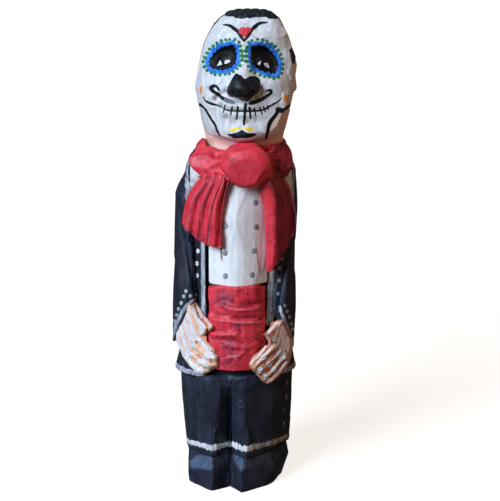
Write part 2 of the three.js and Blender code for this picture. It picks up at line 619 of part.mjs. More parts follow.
for (const side of SIDES) {
  const isLeft = side === 'left';
  const loopPlan = isLeft ? LEFT_LOOP : RIGHT_LOOP;
  const tailPlan = isLeft ? LEFT_TAIL : RIGHT_TAIL;
  const legPlan = isLeft ? LEFT_LEG_PLAN : RIGHT_LEG_PLAN;
  const solePlan = isLeft ? LEFT_SOLE_PLAN : RIGHT_SOLE_PLAN;
  const toePlan = isLeft ? LEFT_TOE_PLAN : RIGHT_SOLE_PLAN;

  const shoulderX = SIGN[side] * SHOULDER_DOWEL.out + along(TRUNK, SHOULDER_RISE, 'shift');
  const shoulderY = along(ARM, SHOULDER_RISE, 'back');
  const shoulderMiddle = new THREE.Vector3(shoulderX, shoulderY, HEM_Z + SHOULDER_RISE);
  const shoulder = dowel(shoulderMiddle, new THREE.Vector3(1, 0, 0), SHOULDER_DOWEL);
  const peg = handPeg(side);
  const hipX = isLeft ? HIP_DOWEL.leftX : HIP_DOWEL.rightX;
  const hip = dowel(new THREE.Vector3(hipX, HIP_DOWEL.y, HEM_Z - GLUE_GAP / 2), upward, HIP_DOWEL);
  const ankleX = isLeft ? ANKLE_PEG.leftX : ANKLE_PEG.rightX;
  const ankle = dowel(new THREE.Vector3(ankleX, ANKLE_PEG.y, SHOE_HEIGHT + GLUE_GAP / 2), upward, ANKLE_PEG);
  trunkSockets.push(shoulder.socket, peg.socket, hip.socket);
  sashSockets.push(peg.socket);

  const armClear = cut(armForm(side, FORM_GAP), belowCuff(side));
  const sleeve = cut(armForm(side, 0), belowCuff(side), jacketClear, shoulder.socket);
  const hand = cut(handForm(side), jacketClear, sashClear, armClear, peg.socket);
  const loopClear = cloth(loopPlan, LOOP, GLUE_GAP);
  const loop = cut(cloth(loopPlan, LOOP), jacketClear, headClear, bandClear, armClear, knotClear);
  const tail = cut(cloth(tailPlan, TAIL), jacketClear, sashClear, armClear, knotClear, loopClear);

  place(side + '_sleeve', sleeve, 'black');
  place(side + '_shoulder_dowel', shoulder.peg, 'wood');
  place(side + '_hand', hand, 'skin');
  place(side + '_hand_peg', peg.peg, 'wood');
  place(side + '_bow_loop', loop, 'red');
  place(side + '_bow_tail', tail, 'red');
  place(side + '_trouser_leg', cut(trouserLeg(side, legPlan), hip.socket, ankle.socket), 'black');
  place(side + '_hip_dowel', hip.peg, 'wood');
  place(side + '_shoe', cut(shoe(side, solePlan, toePlan, legPlan), ankle.socket), 'black');
  place(side + '_ankle_peg', ankle.peg, 'wood');
}

place('waist_sash', cut(waistSash(0), ...sashSockets), 'red');
place('jacket_trunk', cut(jacketForm, recess, ...trunkSockets), 'black');

// The middle of the footprint goes to the origin
const box = new THREE.Box3().setFromObject(figure);
const middleOfBox = box.getCenter(new THREE.Vector3());
for (const mesh of figure.children) mesh.geometry.translate(-middleOfBox.x, -middleOfBox.y, 0);

export default figure;
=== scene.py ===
"""The carved and painted Day of the Dead figure: knife work and paint over its wooden pieces.

Sizes are in millimetres and angles in degrees. Places that the front view shows are pixels of the
photograph's 500 by 501 frame. Left and right are the figure's own: its right hand is on the -X side.
"""

import math

import bmesh
import bpy
import numpy as np
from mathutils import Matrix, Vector


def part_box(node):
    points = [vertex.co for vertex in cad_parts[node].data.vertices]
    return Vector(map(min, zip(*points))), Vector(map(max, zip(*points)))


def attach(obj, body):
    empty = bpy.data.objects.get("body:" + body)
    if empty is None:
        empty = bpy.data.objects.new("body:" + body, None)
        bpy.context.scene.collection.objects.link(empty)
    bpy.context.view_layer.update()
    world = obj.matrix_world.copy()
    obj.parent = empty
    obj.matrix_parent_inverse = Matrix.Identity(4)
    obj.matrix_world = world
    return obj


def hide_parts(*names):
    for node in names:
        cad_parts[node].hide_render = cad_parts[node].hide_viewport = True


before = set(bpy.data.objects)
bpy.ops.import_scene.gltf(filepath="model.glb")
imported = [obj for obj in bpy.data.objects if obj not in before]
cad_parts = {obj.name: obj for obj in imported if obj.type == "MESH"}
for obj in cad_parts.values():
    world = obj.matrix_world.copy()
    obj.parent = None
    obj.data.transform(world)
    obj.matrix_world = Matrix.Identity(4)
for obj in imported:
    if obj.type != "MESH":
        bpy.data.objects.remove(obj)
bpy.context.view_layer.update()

METRE = 1000.0
FAR = 50.0
TINY = 1e-9
SIDES = {"right": -1, "left": 1}

# The camera that took the photograph
PHOTO_SIZE = (500, 501)
FOCAL_PIXELS = 1462
SENSOR_WIDTH = 36
CAMERA_PLACE = (1.2, -837.7, 350.0)
CAMERA_PITCH = 14.1
CAMERA_TURN = 0.55
PIXEL = 0.57

# How finely each piece is meshed, and for how many rounds it is sanded
STOCK = {
    "head": (0.49, 24), "knot": (0.45, 10), "band": (0.45, 6), "loop": (0.45, 8), "tail": (0.45, 6),
    "shirt": (0.5, 6), "sash": (0.5, 8), "jacket": (0.67, 10), "sleeve": (0.55, 10), "hand": (0.4, 10),
    "leg": (0.6, 14), "shoe": (0.6, 5),
}
DOUBLES = 1e-6
SAND = 0.5
GLUE_LINE = 0.18
SEEDS = {
    "head": 3, "band": 12, "knot": 14, "loop": 20, "tail": 30, "shirt": 44, "sash": 51, "jacket": 61,
    "sleeve": 71, "hand": 81, "leg": 91, "shoe": 96,
}

# The knife cuts of each piece: how wide and deep they are, how far they tilt, and how long they are drawn out
CUTS = {
    "head": {"cell": 8, "depth": 0.3, "tilt": 4},
    "knot": {"cell": 12, "depth": 0.9, "tilt": 9},
    "band": {"cell": 6, "depth": 0.25},
    "loop": {"cell": 10, "depth": 0.4},
    "tail": {"cell": 7, "depth": 0.12, "stretch": 3},
    "shirt": {"cell": 13, "depth": 0.2, "stretch": 2.4, "tilt": 3},
    "sash": {"cell": 8, "depth": 0.25, "tilt": 4},
    "jacket": {"cell": 11, "depth": 0.45, "stretch": 1.8},
    "sleeve": {"cell": 9, "depth": 0.4, "stretch": 2.4},
    "hand": {"cell": 6, "depth": 0.25},
    "leg": {"cell": 12, "depth": 0.5, "stretch": 1.8},
    "shoe": {"cell": 10, "depth": 0.4},
}
CUT_WOBBLE = 0.6
CUT_SLOPE = 0.5
CUTS_NEAR = 5
CUT_TRIES = 5000
CUT_CROWDING = 0.6
ROWS_AT_ONCE = 4000

# Where the photograph shows a surface: from turned away to well seen, as the cosine of its slant
SEEN = (0.08, 0.35)
SEEN_EARLY = (0.05, 0.3)

# How a line of the photograph is laid on a piece: how far its surface may turn away, how many pixels the
# line may lie off it, how many pixels wide its points are looked for, and the longest step along it
TRACE = {"facing": 0.05, "off": 1.5, "spread": 1.5, "step": 9}

# Thick paint: how high it stands on the wood, and how its edge rises
TRIM_COAT = {"height": 0.2, "edge": (-0.3, 0.6)}
BUTTON_COAT = {"height": 0.25, "edge": (-0.2, 0.9)}
FACE_COAT = {"height": 0.14, "edge": (-0.3, 0.5)}


def box_of(node):
    """Lowest and highest corner of a piece, in millimetres."""
    low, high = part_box(node)
    return np.array(low) * METRE, np.array(high) * METRE


# Places that follow from the pieces
SASH_LOW, SASH_HIGH = box_of("waist_sash")
HEM_Z = box_of("jacket_trunk")[0][2]
NECK_LENGTH = 9
CHIN_Z = box_of("head")[0][2] + NECK_LENGTH
NECK_AXIS = sum(box_of("neck_dowel")) / 2
HEAD_FORWARD = 2
HEAD_MIDDLE_Y = NECK_AXIS[1] - HEAD_FORWARD
HEAD_LEAN = {"shift": 3, "from": 25, "over": 45}


# Reading the photograph

def photo_view(points):
    """Where the photograph shows points, in pixels."""
    pitch = math.radians(CAMERA_PITCH)
    turn = math.radians(CAMERA_TURN)
    right = np.array([math.cos(turn), -math.sin(turn), 0])
    ahead = np.array([math.sin(turn) * math.cos(pitch), math.cos(turn) * math.cos(pitch), -math.sin(pitch)])
    up = np.cross(right, ahead)
    away = points - np.array(CAMERA_PLACE)
    depth = away @ ahead
    across = PHOTO_SIZE[0] / 2 + FOCAL_PIXELS * (away @ right) / depth
    down = PHOTO_SIZE[1] / 2 - FOCAL_PIXELS * (away @ up) / depth
    return np.stack([across, down], axis=1)


def smooth_line(points, closed=False, steps=5):
    """A smooth line through given points."""
    knots = np.array(points, float)
    count = len(knots)
    spans = count if closed else count - 1
    line = []
    for i in range(spans):
        picks = [i - 1, i, i + 1, i + 2]
        picks = [p % count if closed else min(max(p, 0), count - 1) for p in picks]
        a, b, c, d = knots[picks]
        for t in np.arange(steps) / steps:
            bend = (2 * a - 5 * b + 4 * c - d) * t**2
            twist = (3 * b - a - 3 * c + d) * t**3
            line.append((2 * b + (c - a) * t + bend + twist) / 2)
    if not closed:
        line.append(knots[-1])
    return np.array(line)


def to_line(place, line, closed=False):
    """Distance of each place from a line of points, and how far along the line its nearest point is."""
    starts = line if closed else line[:-1]
    ends = np.roll(line, -1, axis=0) if closed else line[1:]
    best = np.full(len(place), np.inf)
    share = np.zeros(len(place))
    for i, (start, end) in enumerate(zip(starts, ends)):
        reach = end - start
        t = np.clip((place - start) @ reach / max(reach @ reach, TINY), 0, 1)
        gap = np.linalg.norm(place - start - t[:, None] * reach, axis=1)
        nearer = gap < best
        best[nearer] = gap[nearer]
        share[nearer] = (i + t[nearer]) / len(starts)
    return best, share


def stroke(place, points, widths, smooth=True):
    """Signed distance from a brush stroke whose half width runs through the given widths."""
    line = smooth_line(points) if smooth else np.array(points, float)
    gap, share = to_line(place, line)
    return gap - np.interp(share, np.linspace(0, 1, len(widths)), widths)


def patch(place, outline, smooth=True):
    """Signed distance from a filled outline, negative inside."""
    line = smooth_line(outline, closed=True) if smooth else np.array(outline, float)
    gap, _ = to_line(place, line, closed=True)
    inside = np.zeros(len(place), bool)
    for (x0, y0), (x1, y1) in zip(line, np.roll(line, -1, axis=0)):
        crosses = (y0 > place[:, 1]) != (y1 > place[:, 1])
        rise = y1 - y0 if y1 != y0 else TINY
        inside ^= crosses & (place[:, 0] < x0 + (place[:, 1] - y0) / rise * (x1 - x0))
    return np.where(inside, -gap, gap)


def dots(place, centres, radius, tall=1.0):
    """Signed distance from round or upright oval dabs."""
    best = np.full(len(place), np.inf)
    for x, y in centres:
        best = np.minimum(best, np.hypot(place[:, 0] - x, (place[:, 1] - y) / tall) - radius)
    return best


def evenly(line, count):
    """Points at equal steps along a closed line."""
    steps = np.linalg.norm(np.roll(line, -1, axis=0) - line, axis=1)
    reach = np.concatenate([[0], np.cumsum(steps)])
    ring = np.concatenate([line, line[:1]])
    wanted = np.arange(count) / count * reach[-1]
    return np.stack([np.interp(wanted, reach, ring[:, axis]) for axis in (0, 1)], axis=1)


def soft(value, low, high):
    """0 below low, 1 above high, and a smooth rise between."""
    t = np.clip((value - low) / (high - low), 0, 1)
    return t * t * (3 - 2 * t)


def bump(value, reach, middle=0.0):
    """1 at the middle, fading to 0 past the reach on either side."""
    return np.exp(-(((value - middle) / reach) ** 2))


def crease(gap, shape):
    """Height beside a carved line: a cut along it, and a lip at some distance from it."""
    lip = shape["lip"] * bump(gap, shape["lip_width"], shape["lip_at"])
    return lip - shape["depth"] * bump(gap, shape["width"])


def least(distances):
    """The nearest of several signed distances."""
    return np.minimum.reduce(list(distances))


# Carving

class Carving:
    """One wooden piece as a fine mesh. Its points are kept in millimetres while it is carved and painted."""

    def __init__(self, node, grain, sanding):
        self.node = node
        self.object = remeshed(node, grain, sanding)
        self.read()
        self.push(np.full(len(self.points), GLUE_LINE))

    def read(self):
        mesh = self.object.data
        flat = np.empty(len(mesh.vertices) * 3)
        mesh.vertices.foreach_get("co", flat)
        self.points = flat.reshape(-1, 3) * METRE
        mesh.vertex_normals.foreach_get("vector", flat)
        self.normals = flat.reshape(-1, 3).copy()
        self.place = photo_view(self.points)
        toward = np.array(CAMERA_PLACE) - self.points
        self.facing = (self.normals * toward).sum(1) / np.linalg.norm(toward, axis=1)

    def move(self, offsets):
        """Moves each point by its own vector."""
        self.points = self.points + offsets
        self.object.data.vertices.foreach_set("co", (self.points / METRE).ravel())
        self.object.data.update()
        self.read()

    def push(self, height):
        """Moves each point along its normal by its own height."""
        self.move(self.normals * np.asarray(height)[:, None])

    def near(self, centre, reach):
        """1 at a place of the photograph, fading to 0 past the reach in pixels."""
        return bump(np.hypot(*(self.place - centre).T), reach)

    def pull(self, centre, reach, vector):
        """Pulls what lies near a place of the photograph along a vector."""
        self.move(self.near(centre, reach)[:, None] * np.array(vector))

    def flatten(self, rounds):
        """Evens out the front and leaves its outline."""
        even = settled(self.object.data, self.points, rounds) - self.points
        even[:, [0, 2]] = 0
        self.move(even * self.shown()[:, None])

    def front(self, distance):
        """Keeps a pixel distance on the side that the photograph shows, and gives it in millimetres."""
        return np.maximum(distance * PIXEL, -self.facing * FAR)

    def under(self, line):
        """The points of this piece that the photograph shows along a line."""
        seen = np.flatnonzero(self.facing > TRACE["facing"])
        picks = []
        for spot in smooth_line(line):
            gap = np.hypot(*(self.place[seen] - spot).T)
            if gap.min() < TRACE["off"]:
                near = seen[gap < gap.min() + TRACE["spread"]]
                picks.append(near[np.argmin(self.points[near, 1])])
        return self.points[picks]

    def ribbon(self, line, half):
        """Distance from a band of even width, painted along a line of the photograph."""
        trail = self.under(line)
        best = np.full(len(self.points), FAR)
        for start, end in zip(trail, np.concatenate([trail[1:], trail[-1:]])):
            if np.linalg.norm(end - start) < TRACE["step"]:
                gap, _ = to_line(self.points, np.array([start, end]))
                best = np.minimum(best, gap)
        return best - half

    def shown(self, slant=SEEN):
        """1 where the photograph shows the surface, fading to 0 where it turns away."""
        return soft(self.facing, *slant)

    def facets(self, seed, cell, depth, stretch=1.0, tilt=5.0):
        """Flat knife cuts: each point goes to the lowest of the planes at the nearest cut centres."""
        rng = np.random.default_rng(seed)
        scaled = self.points / np.array([1, 1, stretch])
        picks = spaced(scaled, cell, rng)
        lean = math.tan(math.radians(tilt)) * rng.normal(size=(len(picks), 3)) * CUT_WOBBLE
        aim = self.normals[picks] + lean
        aim /= np.linalg.norm(aim, axis=1, keepdims=True)
        sink = rng.uniform(-0.5, 0.5, len(picks)) * depth
        height = np.zeros(len(self.points))
        near_count = min(CUTS_NEAR, len(picks) - 1)
        for rows in np.array_split(np.arange(len(self.points)), len(self.points) // ROWS_AT_ONCE + 1):
            gap = ((scaled[rows, None] - scaled[picks][None]) ** 2).sum(2)
            near = np.argpartition(gap, near_count, axis=1)[:, :near_count]
            slope = (aim[near] * self.normals[rows, None]).sum(2)
            offset = ((self.points[picks][near] - self.points[rows, None]) * aim[near]).sum(2)
            level = np.where(slope > CUT_SLOPE, offset / np.maximum(slope, CUT_SLOPE) + sink[near], np.inf)
            lowest = level.min(1)
            height[rows] = np.where(np.isfinite(lowest), np.clip(lowest, -depth, depth), 0)
        self.push(height)

    def smooth_along(self, rounds):
        """Rounds off the finest edges."""
        self.move(settled(self.object.data, self.points, rounds) - self.points)

    def build_up(self, distance, height, edge):
        """Raises the wood under a thick coat of paint."""
        self.push(height * soft(-distance, *edge))

    def coat(self, name, distance):
        """Records a coat of paint: its signed distance in millimetres, negative where the paint lies."""
        layer = self.object.data.attributes.new(name, "FLOAT", "POINT")
        layer.data.foreach_set("value", np.asarray(distance, np.float32))

    def finish(self, material, slot, blur=4):
        """Records ridges and hollows, then gives the piece its paint and its place in the assembly."""
        self.coat("ridge", ridges(self.object.data, self.points, self.normals, blur))
        self.object.data.materials.clear()
        self.object.data.materials.append(material)
        for polygon in self.object.data.polygons:
            polygon.use_smooth = True
        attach(self.object, "root")
        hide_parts(self.node)


def remeshed(node, grain, sanding):
    """A copy of a piece with its doubles merged, meshed again in small even faces and sanded."""
    mesh = bpy.data.meshes.new("carved_" + node)
    work = bmesh.new()
    work.from_mesh(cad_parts[node].data)
    bmesh.ops.remove_doubles(work, verts=work.verts, dist=DOUBLES)
    work.to_mesh(mesh)
    work.free()
    piece = bpy.data.objects.new("carved_" + node, mesh)
    bpy.context.scene.collection.objects.link(piece)
    blocks = piece.modifiers.new("blocks", "REMESH")
    blocks.mode = "VOXEL"
    blocks.voxel_size = grain / METRE
    sand = piece.modifiers.new("sand", "SMOOTH")
    sand.factor = SAND
    sand.iterations = sanding
    graph = bpy.context.evaluated_depsgraph_get()
    piece.data = bpy.data.meshes.new_from_object(piece.evaluated_get(graph))
    piece.modifiers.clear()
    return piece


def spaced(points, gap, rng):
    """Random points of a cloud, none nearer to another than the gap allows."""
    kept = []
    for i in rng.permutation(len(points))[:CUT_TRIES]:
        if not kept or ((points[kept] - points[i]) ** 2).sum(1).min() > gap**2 * CUT_CROWDING:
            kept.append(i)
    return np.array(kept)


def neighbours(mesh):
    """The two ends of every edge, and how many edges meet at each point."""
    ends = np.empty(len(mesh.edges) * 2, np.int32)
    mesh.edges.foreach_get("vertices", ends)
    ends = ends.reshape(-1, 2)
    return ends, np.maximum(np.bincount(ends.ravel(), minlength=len(mesh.vertices)), 1)


def around(values, ends, valence):
    """The mean of each point's neighbours."""
    total = np.zeros_like(values)
    for near, far in ((0, 1), (1, 0)):
        for axis in range(values.shape[1]):
            total[:, axis] += np.bincount(ends[:, near], values[ends[:, far], axis], minlength=len(values))
    return total / valence[:, None]


def settled(mesh, points, rounds):
    """Points moved halfway to the mean of their neighbours, several times."""
    ends, valence = neighbours(mesh)
    for _ in range(rounds):
        points = (points + around(points, ends, valence)) / 2
    return points


def ridges(mesh, points, normals, blur):
    """How sharply the surface bends at each point, in 1/mm: above zero on ridges, below in hollows."""
    ends, valence = neighbours(mesh)
    spacing = np.linalg.norm(points[ends[:, 0]] - points[ends[:, 1]], axis=1).mean()
    bend = ((points - around(points, ends, valence)) * normals).sum(1) * 4 / spacing**2
    bend = bend[:, None]
    for _ in range(blur):
        bend = (bend + around(bend, ends, valence)) / 2
    return bend[:, 0]


# Paint

SCREEN = {"white": 255, "knee": 0.04045, "slope": 12.92, "lift": 0.055, "power": 2.4}


def colour(red, green, blue):
    """A paint colour from screen values, as the shader wants it."""
    values = []
    for value in (red, green, blue):
        share = value / SCREEN["white"]
        curve = ((share + SCREEN["lift"]) / (1 + SCREEN["lift"])) ** SCREEN["power"]
        values.append(share / SCREEN["slope"] if share <= SCREEN["knee"] else curve)
    return (*values, 1.0)


CHALK = colour(250, 250, 250)
BONE = colour(240, 240, 240)
BONE_SHADE = colour(214, 215, 219)
BONE_WORN_AND_SHADE = colour(170, 140, 118)
NAVY = colour(47, 51, 66)
NAVY_DEEP = colour(34, 37, 48)
BLACK = colour(21, 22, 28)
SCUFF_AND_SHEEN = colour(72, 82, 104)
PAINTED_BLUE_SHEEN = colour(84, 100, 128)
INK = colour(16, 16, 19)
INK_SHEEN = colour(36, 38, 44)
EYE_BLACK = colour(8, 8, 10)
HAIR_SHEEN = colour(60, 64, 72)
RED = colour(228, 48, 62)
RED_LIGHT = colour(240, 66, 80)
RED_DEEP = colour(158, 26, 46)
RED_SHADE = colour(112, 18, 30)
RED_DUSK = colour(176, 78, 106)
RED_WORN = colour(226, 150, 166)
SKIN = colour(252, 224, 212)
SKIN_WARM = colour(240, 198, 178)
SKIN_RED = colour(200, 112, 92)
TAN = colour(230, 184, 136)
TAN_SHADED = colour(192, 136, 108)
TAN_WARM_SHADED = colour(214, 166, 138)
TAN_PALE_SHADED = colour(226, 212, 198)
SILVER = colour(128, 132, 146)
SILVER_BRIGHT = colour(196, 200, 208)
TRIM_SHADE = colour(112, 106, 90)
TRIM_SHADE_PALE = colour(170, 160, 140)
WOOD = colour(206, 170, 124)
WOOD_DARK = colour(150, 108, 68)
BLUE = colour(34, 106, 206)
BLUE_PALE = colour(66, 146, 236)
GREEN = colour(30, 110, 62)
GREEN_PALE = colour(56, 146, 88)
HEART = colour(218, 40, 56)
HEART_PALE = colour(230, 84, 96)
ORANGE = colour(246, 142, 44)
ORANGE_PALE = colour(250, 176, 92)
YELLOW = colour(250, 216, 40)
YELLOW_PALE = colour(252, 232, 110)
MOUSTACHE_HIGHLIGHT_GREY = colour(112, 122, 138)
GREY = colour(128, 128, 134)
GREY_PALE = colour(168, 168, 176)
PINK = colour(240, 198, 190)


# Brush marks: sizes in millimetres, and where in the noise one tone gives way to the next
RAGGED_SIZE = 1.6
WEAR_SIZE = 2.2
STREAK_TONES = (0.35, 0.68)
FINE_DETAIL = 4.0
SHEEN_SIZE = 4.0
SHEEN_TONES = (0.3, 0.7)
BRUSH_MARK = {"size": 0.9, "stretch": (1, 1, 5), "speck": 0.45, "speck_share": 0.6, "depth": 0.25}


class Finish:
    """A painted wood material, built up coat by coat."""

    def __init__(self, name, roughness, gloss=0.4):
        self.material = bpy.data.materials.new(name)
        self.material.use_nodes = True
        self.tree = self.material.node_tree
        self.shader = self.tree.nodes["Principled BSDF"]
        self.coordinates = self.add("ShaderNodeTexCoord").outputs["Object"]
        self.shader.inputs["Specular IOR Level"].default_value = gloss
        self.roughness = roughness

    def add(self, kind):
        return self.tree.nodes.new(kind)

    def feed(self, socket, value):
        """Links a socket to another, or sets its constant."""
        if isinstance(value, bpy.types.NodeSocket):
            self.tree.links.new(value, socket)
        else:
            socket.default_value = value

    def noise(self, size, stretch=(1, 1, 1), detail=3.0):
        """Random blotches of about this size in millimetres, drawn out along the axes."""
        mapping = self.add("ShaderNodeMapping")
        self.feed(mapping.inputs["Vector"], self.coordinates)
        mapping.inputs["Scale"].default_value = [1 / value for value in stretch]
        texture = self.add("ShaderNodeTexNoise")
        self.feed(texture.inputs["Vector"], mapping.outputs["Vector"])
        texture.inputs["Scale"].default_value = METRE / size
        texture.inputs["Detail"].default_value = detail
        return texture.outputs["Fac"]

    def layer(self, name):
        """A coat's distance, as the piece keeps it."""
        node = self.add("ShaderNodeAttribute")
        node.attribute_name = name
        return node.outputs["Fac"]

    def sum(self, first, second, times=1.0):
        """The first value and so many times the second."""
        node = self.add("ShaderNodeMath")
        node.operation = "MULTIPLY_ADD"
        self.feed(node.inputs[0], second)
        self.feed(node.inputs[1], times)
        self.feed(node.inputs[2], first)
        return node.outputs[0]

    def ramp(self, value, low, high, start=0.0, end=1.0):
        """A smooth rise from start to end as the value goes from low to high."""
        node = self.add("ShaderNodeMapRange")
        node.interpolation_type = "SMOOTHSTEP"
        self.feed(node.inputs["Value"], value)
        for name, number in (("From Min", low), ("From Max", high), ("To Min", start), ("To Max", end)):
            node.inputs[name].default_value = number
        return node.outputs["Result"]

    def mix(self, share, low, high):
        node = self.add("ShaderNodeMix")
        node.data_type = "RGBA"
        self.feed(node.inputs["Factor"], share)
        self.feed(node.inputs[6], low)
        self.feed(node.inputs[7], high)
        return node.outputs[2]

    def coat(self, under, name, tones, ragged=0.5, edge=0.14):
        """A brushed coat over what is under it, where the named layer is below zero."""
        wander = self.sum(self.layer(name), self.sum(self.noise(RAGGED_SIZE), -0.5), ragged)
        share = self.ramp(wander, edge, -edge)
        return self.mix(share, under, self.brushed(*tones))

    def brushed(self, low, high, size=2.4, stretch=(1, 1, 3)):
        """Two tones of one paint in brush streaks."""
        return self.mix(self.ramp(self.noise(size, stretch), *STREAK_TONES), low, high)

    def worn(self, under, tone, low, high, spread=0.5, most=1.0):
        """Rubbed ridges show another tone."""
        rub = self.sum(self.layer("ridge"), self.sum(self.noise(WEAR_SIZE), -0.5), spread)
        return self.mix(self.ramp(rub, low, high, 0.0, most), under, tone)

    def blotches(self, under, tone, size, low, high, most, stretch=(1, 1, 1)):
        """Patches of another tone in no order."""
        share = self.ramp(self.noise(size, stretch, FINE_DETAIL), low, high, 0.0, most)
        return self.mix(share, under, tone)

    def hollow(self, under, tone, low, high, most=0.8):
        """Painted shade: hollows take another, darker tone."""
        return self.mix(self.ramp(self.layer("ridge"), -low, -high, 0.0, most), under, tone)

    def done(self, paint, bump=0.35):
        """Links the colour, then breaks up the sheen and the surface with brush marks and grain."""
        self.feed(self.shader.inputs["Base Color"], paint)
        streaks = self.noise(BRUSH_MARK["size"], BRUSH_MARK["stretch"], FINE_DETAIL)
        sheen = self.ramp(self.noise(SHEEN_SIZE), *SHEEN_TONES, *self.roughness)
        self.feed(self.shader.inputs["Roughness"], sheen)
        height = self.sum(streaks, self.noise(BRUSH_MARK["speck"]), BRUSH_MARK["speck_share"])
        node = self.add("ShaderNodeBump")
        node.inputs["Strength"].default_value = bump
        node.inputs["Distance"].default_value = BRUSH_MARK["depth"] / METRE
        self.feed(node.inputs["Height"], height)
        self.feed(self.shader.inputs["Normal"], node.outputs["Normal"])
        return self.material


def red_paint():
    """The bow and sash: red over a darker red, thin and dusky in patches, worn pale on the ridges, with
    painted shade in the hollows and on the sides that turn from the light.
    """
    finish = Finish("red_paint", roughness=(0.42, 0.62))
    paint = finish.brushed(RED, RED_LIGHT, size=3.0)
    paint = finish.blotches(paint, RED_DEEP, size=7.0, low=0.5, high=0.72, most=0.65)
    # painted shade in the hollows
    paint = finish.hollow(paint, RED_DEEP, low=0.1, high=0.6)
    paint = finish.blotches(paint, RED_DUSK, size=1.1, low=0.5, high=0.7, most=0.45)
    paint = finish.coat(paint, "faded", (RED_DUSK, RED_DEEP), ragged=9.0, edge=2.5)
    # painted shade where a piece turns from the light and under the folds
    paint = finish.coat(paint, "painted_shade", (RED_DEEP, RED_SHADE), ragged=4.0, edge=1.6)
    paint = finish.coat(paint, "pale", (RED_WORN, RED_DUSK), ragged=1.5, edge=0.4)
    paint = finish.worn(paint, RED_WORN, low=0.7, high=1.7, spread=0.9, most=0.22)
    return finish.done(paint)


def black_paint(name, trims):
    """The suit: navy black, with painted shade in the hollows, scuffed along the edges and lightened there
    with a painted bluish sheen, with silver trims and any other coats.
    """
    finish = Finish(name, roughness=(0.42, 0.6), gloss=0.18)
    paint = finish.brushed(NAVY_DEEP, NAVY, size=5.0, stretch=(1, 1, 2.5))
    # painted shade in the hollows
    paint = finish.hollow(paint, BLACK, low=0.1, high=0.6)
    # scuffs, and a painted bluish sheen where the edges catch the light
    paint = finish.worn(paint, SCUFF_AND_SHEEN, low=0.45, high=1.5, spread=0.8, most=0.7)
    for trim in trims:
        paint = finish.coat(paint, **trim)
    return finish.done(paint)


def white_paint():
    """The shirt: bone white with grey painted buttons."""
    finish = Finish("shirt_paint", roughness=(0.45, 0.65))
    paint = finish.brushed(BONE, CHALK, size=3.5, stretch=(1, 1, 4))
    paint = finish.blotches(paint, BONE_SHADE, size=1.8, low=0.45, high=0.75, most=0.4, stretch=(1, 1, 3))
    # painted shade in the hollows
    paint = finish.hollow(paint, BONE_WORN_AND_SHADE, low=0.5, high=1.6, most=0.35)
    paint = finish.coat(paint, "crack", (WOOD_DARK, BONE_WORN_AND_SHADE))
    paint = finish.coat(paint, "button", (GREY, GREY_PALE))
    return finish.done(paint, bump=0.55)


# The coats over the white face in the order they are painted, each with its tones and how ragged it is
FACE_ORNAMENT = [
    ("hair", (INK, HAIR_SHEEN), 1.2), ("cheek", (ORANGE, ORANGE_PALE), 0.5),
    ("socket", (EYE_BLACK, INK), 0.5), ("petal", (BLUE, BLUE_PALE), 0.45),
    # after the beads, a grey-blue painted highlight on the root of the moustache
    ("bead", (GREEN, GREEN_PALE), 0.4), ("root_highlight", (MOUSTACHE_HIGHLIGHT_GREY, GREY), 0.6),
    ("ink", (INK, INK_SHEEN), 0.45), ("heart", (HEART, HEART_PALE), 0.3),
    ("dash", (YELLOW, YELLOW_PALE), 0.4), ("glint", (BONE, BONE), 0.2),
]


def face_paint():
    """Skin, white skull face, black hair, and the ornament painted over them."""
    finish = Finish("face_paint", roughness=(0.42, 0.62), gloss=0.22)
    paint = finish.brushed(SKIN, SKIN_WARM, size=6.0)
    paint = finish.blotches(paint, SKIN_RED, size=1.4, low=0.62, high=0.72, most=0.7)
    paint = finish.coat(paint, "bone", (BONE_SHADE, BONE), ragged=1.2, edge=0.3)
    # worn paint and painted shade darken the creases
    paint = finish.hollow(paint, BONE_WORN_AND_SHADE, low=0.25, high=1.0, most=0.5)
    # worn spots, and the nose's painted shadow
    paint = finish.coat(paint, "rubbed_and_shadow", (BONE_WORN_AND_SHADE, BONE_SHADE), ragged=3.2, edge=0.7)
    for name, tones, ragged in FACE_ORNAMENT:
        paint = finish.coat(paint, name, tones, ragged)
    return finish.done(paint, bump=0.45)


def hand_paint(name, skin, rose, bone):
    """Tan skin with pale and pink strokes that draw the bones and fingers."""
    finish = Finish(name, roughness=(0.42, 0.6))
    paint = finish.brushed(*skin, size=2.6, stretch=(1, 1, 2))
    # painted shade in the slits between the fingers
    paint = finish.hollow(paint, SKIN_RED, low=0.2, high=0.9)
    paint = finish.coat(paint, "rose", rose, ragged=0.8, edge=0.25)
    paint = finish.coat(paint, "bone", bone, ragged=0.8, edge=0.2)
    paint = finish.coat(paint, "knuckle", (BONE, BONE_SHADE), ragged=0.9, edge=0.2)
    return finish.done(paint)


def dowel_wood():
    """Bare wood for the dowels and pegs inside."""
    finish = Finish("dowel_wood", roughness=(0.6, 0.8))
    return finish.done(finish.brushed(WOOD, WOOD_DARK, size=1.2, stretch=(1, 1, 9)))


# Head

